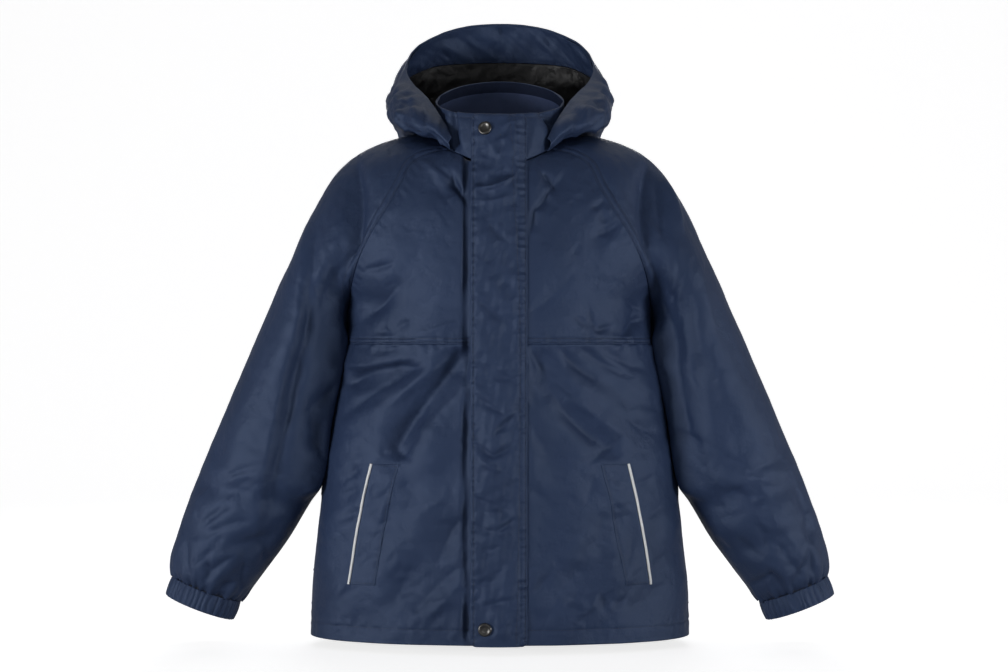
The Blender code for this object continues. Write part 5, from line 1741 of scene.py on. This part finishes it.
# %% Storm flap
FLAP_CREASES = (
    (-23, -58, 14, -46, 4, 1.6, 3, 4),
    (-24, -53, 13, -41, -3, -1.5, 3, 5),
    (3, -38, 13, -45, 1, -1.2, 3, 3),
    (-1, -4, 11, 9, 1, -1.5, 2.5, 4),
    (-23, -19, -7, -25, -2, -1.3, 4, 5),
    (2, -8, -1, -20, 0, -0.9, 3, 4),
    (-21, -72, 6, -68, 2, 0.7, 5, 6),
    (-10, -95, 8, -114, 2, -0.7, 5, 6),
    (-17, -136, 0, -124, 2, -0.7, 5, 6),
    (-21, -176, 8, -195, 3, -0.9, 6, 8),
    (-15, -245, 11, -258, 2, -1.7, 3.5, 6),
    (-22, -276, 1, -292, 2, -1.2, 3, 5),
    (-3, -313, 14, -297, 1, -1.5, 3, 4),
    (-22, -328, -7, -339, 1, -1.3, 3, 4),
    (-7, -339, 11, -328, 1, -1.2, 3, 4),
    (-17, -345, 0, -353, 1, 0.8, 5, 5),
    (-22, -384, -3, -392, 1, -1.5, 4, 7),
    (-3, -392, 11, -387, 1, -1.3, 4, 6),
    (-24, -412, -9, -417, 1, -0.9, 3, 5),
    (-2, -416, 14, -405, 1, -0.9, 3, 5),
    (-19, -437, -2, -433, 1, -0.8, 4, 5),
    (-21, -472, -1, -460, 1, -1, 4, 6),
    (-17, -495, 6, -489, 1, -0.6, 5, 6),
)
FLAP_EDGE_STITCH = 3.7
FLAP_TOP_STITCH = 3.0
FLAP_SEAM_STITCH = 2.3
# distance of the second stitch line from the sewn edge, by height
SECOND_LINE = ((-21, 180, 538), (12.4, 8.4, 7.4))
SHARPER = 0.7
FLAP_GAIN = 4.4


def front_line(x):
    """Height and depth of the coat's front face along one upright line beside the zip."""
    x = max(abs(x), 0.01)
    up = np.linspace(1, 0, 30)
    width = (NECK_HALF_WIDTH + (COLLAR_TOP_HALF_WIDTH - NECK_HALF_WIDTH) * up
             + COLLAR_BOW * np.sin(pi * up))
    above = collar_surface(np.degrees(np.arcsin(x / width)), up)
    rungs = joined(raglan_rungs("front", 80), side_rungs(np.linspace(UNDERARM_Z, HEM_Z - 6, 160)))
    below = body_surface("front", rungs, np.full((len(rungs[1]), 1), x))[0][:, 0]
    line = np.concatenate([above, below])
    return line[:, 2], line[:, 1]


def front_y(x, z):
    """Depth of the coat's front face at heights on one upright line."""
    heights, depths = front_line(x)
    return np.interp(-np.asarray(z), -heights, depths)


def flap_grid(columns, downs):
    """Smooth outer face of the flap; columns are distances from its free edge, downs shares."""
    width = FLAP_LEFT_X - FLAP_RIGHT_X
    lines = []
    for at in columns:
        u = at / width
        into = max(0.0, abs(2 * u - 1) * width / 2 - (width / 2 - FLAP_CORNER)) / FLAP_CORNER
        corner = FLAP_CORNER * (1 - (1 - into ** 2) ** 0.5)
        top, bottom = FLAP_TOP_Z - corner, FLAP_BOTTOM_Z + corner
        z = top + (bottom - top) * downs
        lift = FLAP_LAY + FLAP_WALL + FLAP_EDGE_LIFT * (1 - u) + FLAP_CROWN * np.sin(pi * u)
        x = FLAP_RIGHT_X + at
        lines.append(np.stack([np.full_like(z, x), front_y(x, z) - lift, z], -1))
    return np.array(lines).swapaxes(0, 1)


def round_snaps(x, z, reach):
    """1 at the snaps, fading to 0 at the given distance."""
    return sum(bell((x - SNAP_X) ** 2 + (z - at) ** 2, reach ** 2)
               for at in SNAP_Z.values())


columns = places(FLAP_LEFT_X - FLAP_RIGHT_X, (0, 0.5, 1.3, 2.4, 3.6, 4.8, 6.2),
                 (0, 0.5, 1.3, 2.3, 3.4, 5.0, 6.2, 7.4, 8.6, 9.8, 11.2, 12.4, 13.6), 1.8, 60)
flap_flat = flap_grid(columns, np.linspace(0, 1, 290))
flap_flat = recut(flap_flat, (0, 0.5, 1.4, 2.9, 4.2), (0, 0.5, 1.4, 2.9, 4.2), 1.9, axis=0)
x, z = flap_flat[..., 0], flap_flat[..., 2]
from_seam, from_edge = FLAP_LEFT_X - x, x - FLAP_RIGHT_X
second_line = np.interp(-z, *SECOND_LINE)
sharp = [(*row[:6], SHARPER * row[6], SHARPER * row[7]) for row in FLAP_CREASES]
height = FLAP_GAIN * crease_height(sharp, x, z) + 0.8 * swell(x, z, 131, 40, 1.5)
height = 0.7 + np.maximum(height, -2.5) + 0.5 * swell(x, z, 132, 15)
height *= ease(from_edge, 0, 7) * ease(from_seam, 2, 12) * ease(z - FLAP_BOTTOM_Z, 4, 18)
height *= 1 - 0.9 * np.clip(round_snaps(x, z, 11), 0, 1)
between = bell(from_seam - second_line / 2 - 1, second_line / 2.2, 4)
height += 0.55 * waver(z, 133, 6) * between
height += 0.5 * waver(z, 134, 8) * bell(from_edge - 3.4, 3.0)
height += 0.25 * waver(z, 135, 5) * bell(from_seam - second_line - 2.5, 3.0)
for apart in (from_seam - FLAP_SEAM_STITCH, from_seam - second_line, from_edge - FLAP_EDGE_STITCH):
    height -= STITCH_DIP * bell(apart, STITCH_DIP_WIDTH)
height -= 0.9 * bell(from_edge, 0.8) + 0.8 * bell(from_seam, 0.8)
height -= 0.8 * bell(beside(flap_flat, "first_row"), 0.8)
flap_cloth = raised(flap_flat, True, height)
piece = sew("storm_flap", flap_cloth, True, shell, wall=1.4)

# %% [markdown]
# ## Zip and snaps
# The zip is hidden behind the flap, but it shows from inside and from below. Its two tapes lie
# side by side and the coil's turns lock down the middle. Each snap is a turned cap: a shallow dish
# in a raised rim. A spun section gives that better than a scaled sphere.

# %% Metal, zip and piping materials
def worn_metal(name, dark, light, roughness, metallic=1.0):
    """Dark plated metal with faint random blotches in its colour, roughness and bumps."""
    material, tree, shader = new_material(name, {"Metallic": metallic})
    place = tree.nodes.new("ShaderNodeTexCoord").outputs["Object"]
    blotch = noise_node(tree, place, 420.0, 3.0, 0.6)
    tree.links.new(ramp_node(tree, blotch, dark, light), shader.inputs["Base Color"])
    rough = math_node(tree, "ADD", math_node(tree, "MULTIPLY", blotch, 0.22), roughness - 0.11)
    tree.links.new(rough, shader.inputs["Roughness"])
    tree.links.new(bump_node(tree, blotch, 0.05, strength=0.4), shader.inputs["Normal"])
    return material


def mesh_of(bm, name, material):
    """A mesh in metres from a bmesh in millimetres, which is freed."""
    bmesh.ops.scale(bm, vec=(MM, MM, MM), verts=bm.verts)
    mesh = bpy.data.meshes.new(name)
    bm.to_mesh(mesh)
    bm.free()
    mesh.materials.append(material)
    return mesh


gunmetal = worn_metal("gunmetal", (0.05, 0.049, 0.048, 1), (0.15, 0.146, 0.14, 1), 0.36)
zip_tape = cloth_material("zip_tape", (0.006, 0.008, 0.014, 1), (0.012, 0.015, 0.024, 1), 0.6,
                          900.0, 0.12, 80.0, 0.2)
coil_plastic = worn_metal("coil_plastic", (0.012, 0.014, 0.020, 1), (0.020, 0.023, 0.030, 1), 0.4,
                          metallic=0.0)
pale_piping = cloth_material("pale_piping", (0.62, 0.63, 0.64, 1), (0.80, 0.81, 0.82, 1), 0.38,
                             1500.0, 0.04, 200.0, 0.3)
print("trim materials:", [m.name for m in (gunmetal, zip_tape, coil_plastic, pale_piping)])

# %% [markdown]
# The tape is one narrow sheet, raised a little along its middle. The coil is a row of small
# rounded blocks that lean left and right in turn, which is how a coil's turns look from outside.
# A spiral curve would be truer, but hardly anyone sees it behind the flap.

# %% Zip
COIL_PITCH = 1.9
TURN_SIZE = (4.4, 0.8, 1.1)
half_tape = np.array([0, 1.3, 2.6, 3.2, 4.2, 6, 9, 11.4, ZIP_HALF_WIDTH])
tape_x = np.concatenate([-half_tape[:0:-1], half_tape])
coil_rise = np.where(np.abs(tape_x) <= 2.6, 0.55, 0.0) + np.where(np.abs(tape_x) > 11.8, -0.1, 0)
heights = np.linspace(ZIP_TOP_Z, ZIP_BOTTOM_Z, 271)
middle_y = front_y(0, heights)
zip_flat = np.stack(np.broadcast_arrays(
    tape_x[None], (middle_y + ZIP_SINK)[:, None] - coil_rise[None], heights[:, None]), -1)
zip_piece = sew("zip", zip_flat, True, zip_tape, wall=0.7)
bm = bmesh.new()
for k, z in enumerate(np.arange(ZIP_TOP_Z - 14, ZIP_BOTTOM_Z + 3, -COIL_PITCH)):
    lean = 0.55 if k % 2 else -0.55
    y = float(np.interp(-z, -heights, middle_y)) + ZIP_SINK - 0.95
    for vert in bmesh.ops.create_cube(bm, size=1.0)["verts"]:
        wide, deep, tall = (size * part for size, part in zip(TURN_SIZE, vert.co))
        vert.co = Vector((wide + lean, deep * (1 - 0.5 * abs(vert.co.x)) + y, tall + z))
teeth = placed("zip_coil", mesh_of(bm, "zip_coil", coil_plastic))
round_edges = teeth.modifiers.new("round edges", "BEVEL")
round_edges.width = 0.18 * MM
round_edges.segments = 1
attach(teeth)
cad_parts["zip_slider"].data.materials.clear()
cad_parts["zip_slider"].data.materials.append(gunmetal)
print("zip:", len(teeth.data.polygons) // 6, "turns of the coil")

# %% [markdown]
# Each cap is half a section, spun round its axis, and laid on the flap: three by three places of
# the flap's surface round the snap give the direction that the cap has to face. The cap sits in
# the cloth a little, because a real snap pinches the layers it is pressed through.

# %% Snaps
# radius and height of the cap's section, from its middle outwards and round under the rim
SNAP_SECTION = ((0.0, 1.30), (1.6, 1.32), (3.0, 1.42), (4.0, 1.72), (4.7, 2.08), (5.2, 2.24),
                (5.9, 2.22), (6.5, 1.98), (6.95, 1.55), (7.15, 1.05), (7.2, 0.4), (7.1, -0.5),
                (6.2, -0.8))
SNAP_STEPS = 64
SNAP_PROBE = 5.0
for word, z in SNAP_Z.items():
    bm = bmesh.new()
    verts = [bm.verts.new((x, 0, height)) for x, height in SNAP_SECTION]
    for a, b in zip(verts, verts[1:]):
        bm.edges.new((a, b))
    bmesh.ops.spin(bm, geom=bm.verts[:] + bm.edges[:], cent=(0, 0, 0), axis=(0, 0, 1),
                   angle=2 * pi, steps=SNAP_STEPS, use_merge=True)
    bmesh.ops.remove_doubles(bm, verts=bm.verts, dist=0.01)
    bmesh.ops.recalc_face_normals(bm, faces=bm.faces)
    probe = SNAP_PROBE * np.array([-1, 0, 1])
    around = flap_grid(SNAP_X - FLAP_RIGHT_X + probe,
                       (FLAP_TOP_Z - z + probe) / (FLAP_TOP_Z - FLAP_BOTTOM_Z))
    normal = np.cross(around[1, 2] - around[1, 0], around[0, 1] - around[2, 1])
    normal = Vector(normal).normalized()
    normal = -normal if normal.y > 0 else normal
    turn = normal.to_track_quat("Z", "Y").to_matrix().to_4x4()
    turn.translation = Vector(around[1, 1]) + normal * SNAP_LAY
    bm.transform(turn)
    mesh = mesh_of(bm, "snap_cap_" + word, gunmetal)
    mesh.shade_smooth()
    attach(placed("snap_cap_" + word, mesh), "snap_" + word)
    print("snap_cap_" + word, "faces", len(mesh.polygons), "at z", z)

# %% [markdown]
# ## Pockets
# Each slanted pocket has a welt, a narrow folded strip sewn over the opening, and a pale piping
# along its open edge. The welt is laid over the lower front by the same surface and the same
# relief, lifted by its own thickness, so it never dips into the cloth below.

# %% Welts and pipings
WELT_LENGTH = WELT_TOP_Z - WELT_BOTTOM_Z
WELT_LIFT = 0.45
CORD_POINTS = 60


def welt_z(v):
    """Height of places along the pocket; v runs from top to bottom."""
    return WELT_TOP_Z + (WELT_BOTTOM_Z - WELT_TOP_Z) * v


def over_front(side, x, z, lift):
    """Points over a lower front, lifted off its creased face; each row has one height z."""
    points, away, folds = folded_panel("front", side_rungs(z), side, x)
    relief = front_relief(points[..., 0], points[..., 2])
    return points + away * (lift + relief - folds)[..., None]


pocket_lines = []
v = np.concatenate([[0, 0.006, 0.014], np.linspace(0.026, 0.974, 62), [0.986, 0.994, 1]])
inward = places(WELT_WIDTH, (0, 0.6, 1.4, 2.6), (0, 0.6, 1.4, 2.2, 3.4), 2.0, WELT_WIDTH)
for side, word in SIDES:
    x = welt_x(v)[:, None] - inward[None]
    across, down = np.broadcast_arrays(inward[None], (v * WELT_LENGTH)[:, None])
    flat = over_front(side, x, welt_z(v), np.full(x.shape, WELT_LIFT))
    crinkle = scattered(((13, 64, 9, 40, 30, 13, 20, 50, 0.5),), 140 + side)
    own = np.maximum(crease_height(crinkle, across, down), -0.15)
    own += 0.3 * np.sin(pi * np.clip(inward / WELT_WIDTH, 0, 1))[None] ** 0.7
    rim = np.minimum(across, np.minimum(v, 1 - v)[:, None] * WELT_LENGTH)
    lift = WELT_LIFT + own * ease(rim, 0, 3) + 0.7 * ease(7 - inward, 0, 7)[None]
    lift -= 0.35 * bell(WELT_WIDTH - inward[None] - 2.2, 0.9)
    cloth = over_front(side, x, welt_z(v), lift)
    piece = sew("pocket_welt_" + word, cloth, side < 0, shell, wall=0.4)
    for edge, distance in (("last_column", 2.2), ("first_row", 2.0), ("last_row", 2.0)):
        line, normal = line_beside(cloth, side < 0, edge, distance)
        pocket_lines.append((line[1:-1], normal[1:-1]))
    curve = bpy.data.curves.new("piping_cord_" + word, "CURVE")
    curve.dimensions = "3D"
    curve.bevel_depth = PIPING_RADIUS * MM
    curve.bevel_resolution = 4
    curve.use_fill_caps = True
    spline = curve.splines.new("POLY")
    along = np.linspace(0, 1, CORD_POINTS)
    route = over_front(side, (welt_x(along) + PIPING_RADIUS + LAY)[:, None], welt_z(along),
                       np.full((CORD_POINTS, 1), LAY + WELT_EXTRA + PIPING_RADIUS))[:, 0]
    spline.points.add(len(route) - 1)
    for spot, point in zip(spline.points, route):
        spot.co = (*(point * MM), 1.0)
    curve.materials.append(pale_piping)
    attach(placed("piping_cord_" + word, curve), "piping_" + word)

# %% [markdown]
# ## Topstitching
# The seams that are stitched through from the outside get their thread now: two lines beside each
# raglan seam and above the yoke, one round the hem, three on the flap, one on the collar's top
# edge, and the hood's centre seam and facing. The lines are read from the finished, creased
# sheets, so the thread rides over every pucker.

# %% All stitch lines
STITCH_SKIP = 2
HOOD_STITCH_SKIP = 12


def part_of(line, first, last=None):
    """The rows of a stitch line between two places."""
    return line[0][first:last], line[1][first:last]


rows = int(np.sum(run_along(sleeve_flat, 0)[:, 0] < UNDERARM * RAGLAN_STITCHED))
stitch_mesh("raglan_stitches",
            [part_of(line_beside(cloth, word == "left", edge, distance), STITCH_SKIP, rows)
             for word, cloth in sleeves.items() for edge in ("first_column", "last_column")
             for distance in RAGLAN_STITCHES])
stitch_mesh("yoke_stitches", [line_beside(fronts["upper_" + word], side > 0, "last_row", distance)
                              for side, word in SIDES for distance in YOKE_STITCHES])
hems = [(fronts["lower_" + word], side > 0) for side, word in SIDES] + [(back_cloth, True)]
stitch_mesh("hem_stitches",
            [line_beside(cloth, flip, "last_row", HEM_STITCH) for cloth, flip in hems])
stitch_mesh("flap_stitches", [line_beside(flap_cloth, True, edge, distance) for edge, distance in (
    ("first_column", FLAP_EDGE_STITCH), ("last_column", FLAP_SEAM_STITCH),
    ("last_column", second_line[:, 0]), ("first_row", FLAP_TOP_STITCH))])
stitch_mesh("pocket_stitches", pocket_lines)
stitch_mesh("collar_stitches", [line_beside(collar_outer, True, "first_row", COLLAR_STITCH)])

hood_lines = []
for word, cloth in hood_layers.items():
    flip = word == "left"
    hood_lines.append(line_beside(cloth, flip, "last_column", HOOD_STITCHES[0]))
    under_brim = line_beside(cloth, flip, "first_row", facing_depth(run_along(cloth, 0)[-1]))
    hood_lines.append(part_of(under_brim, HOOD_STITCH_SKIP))
hood_lines.append(line_beside(facing_cloth, False, "last_row", HOOD_STITCHES[0]))
stitch_mesh("hood_stitches", hood_lines)
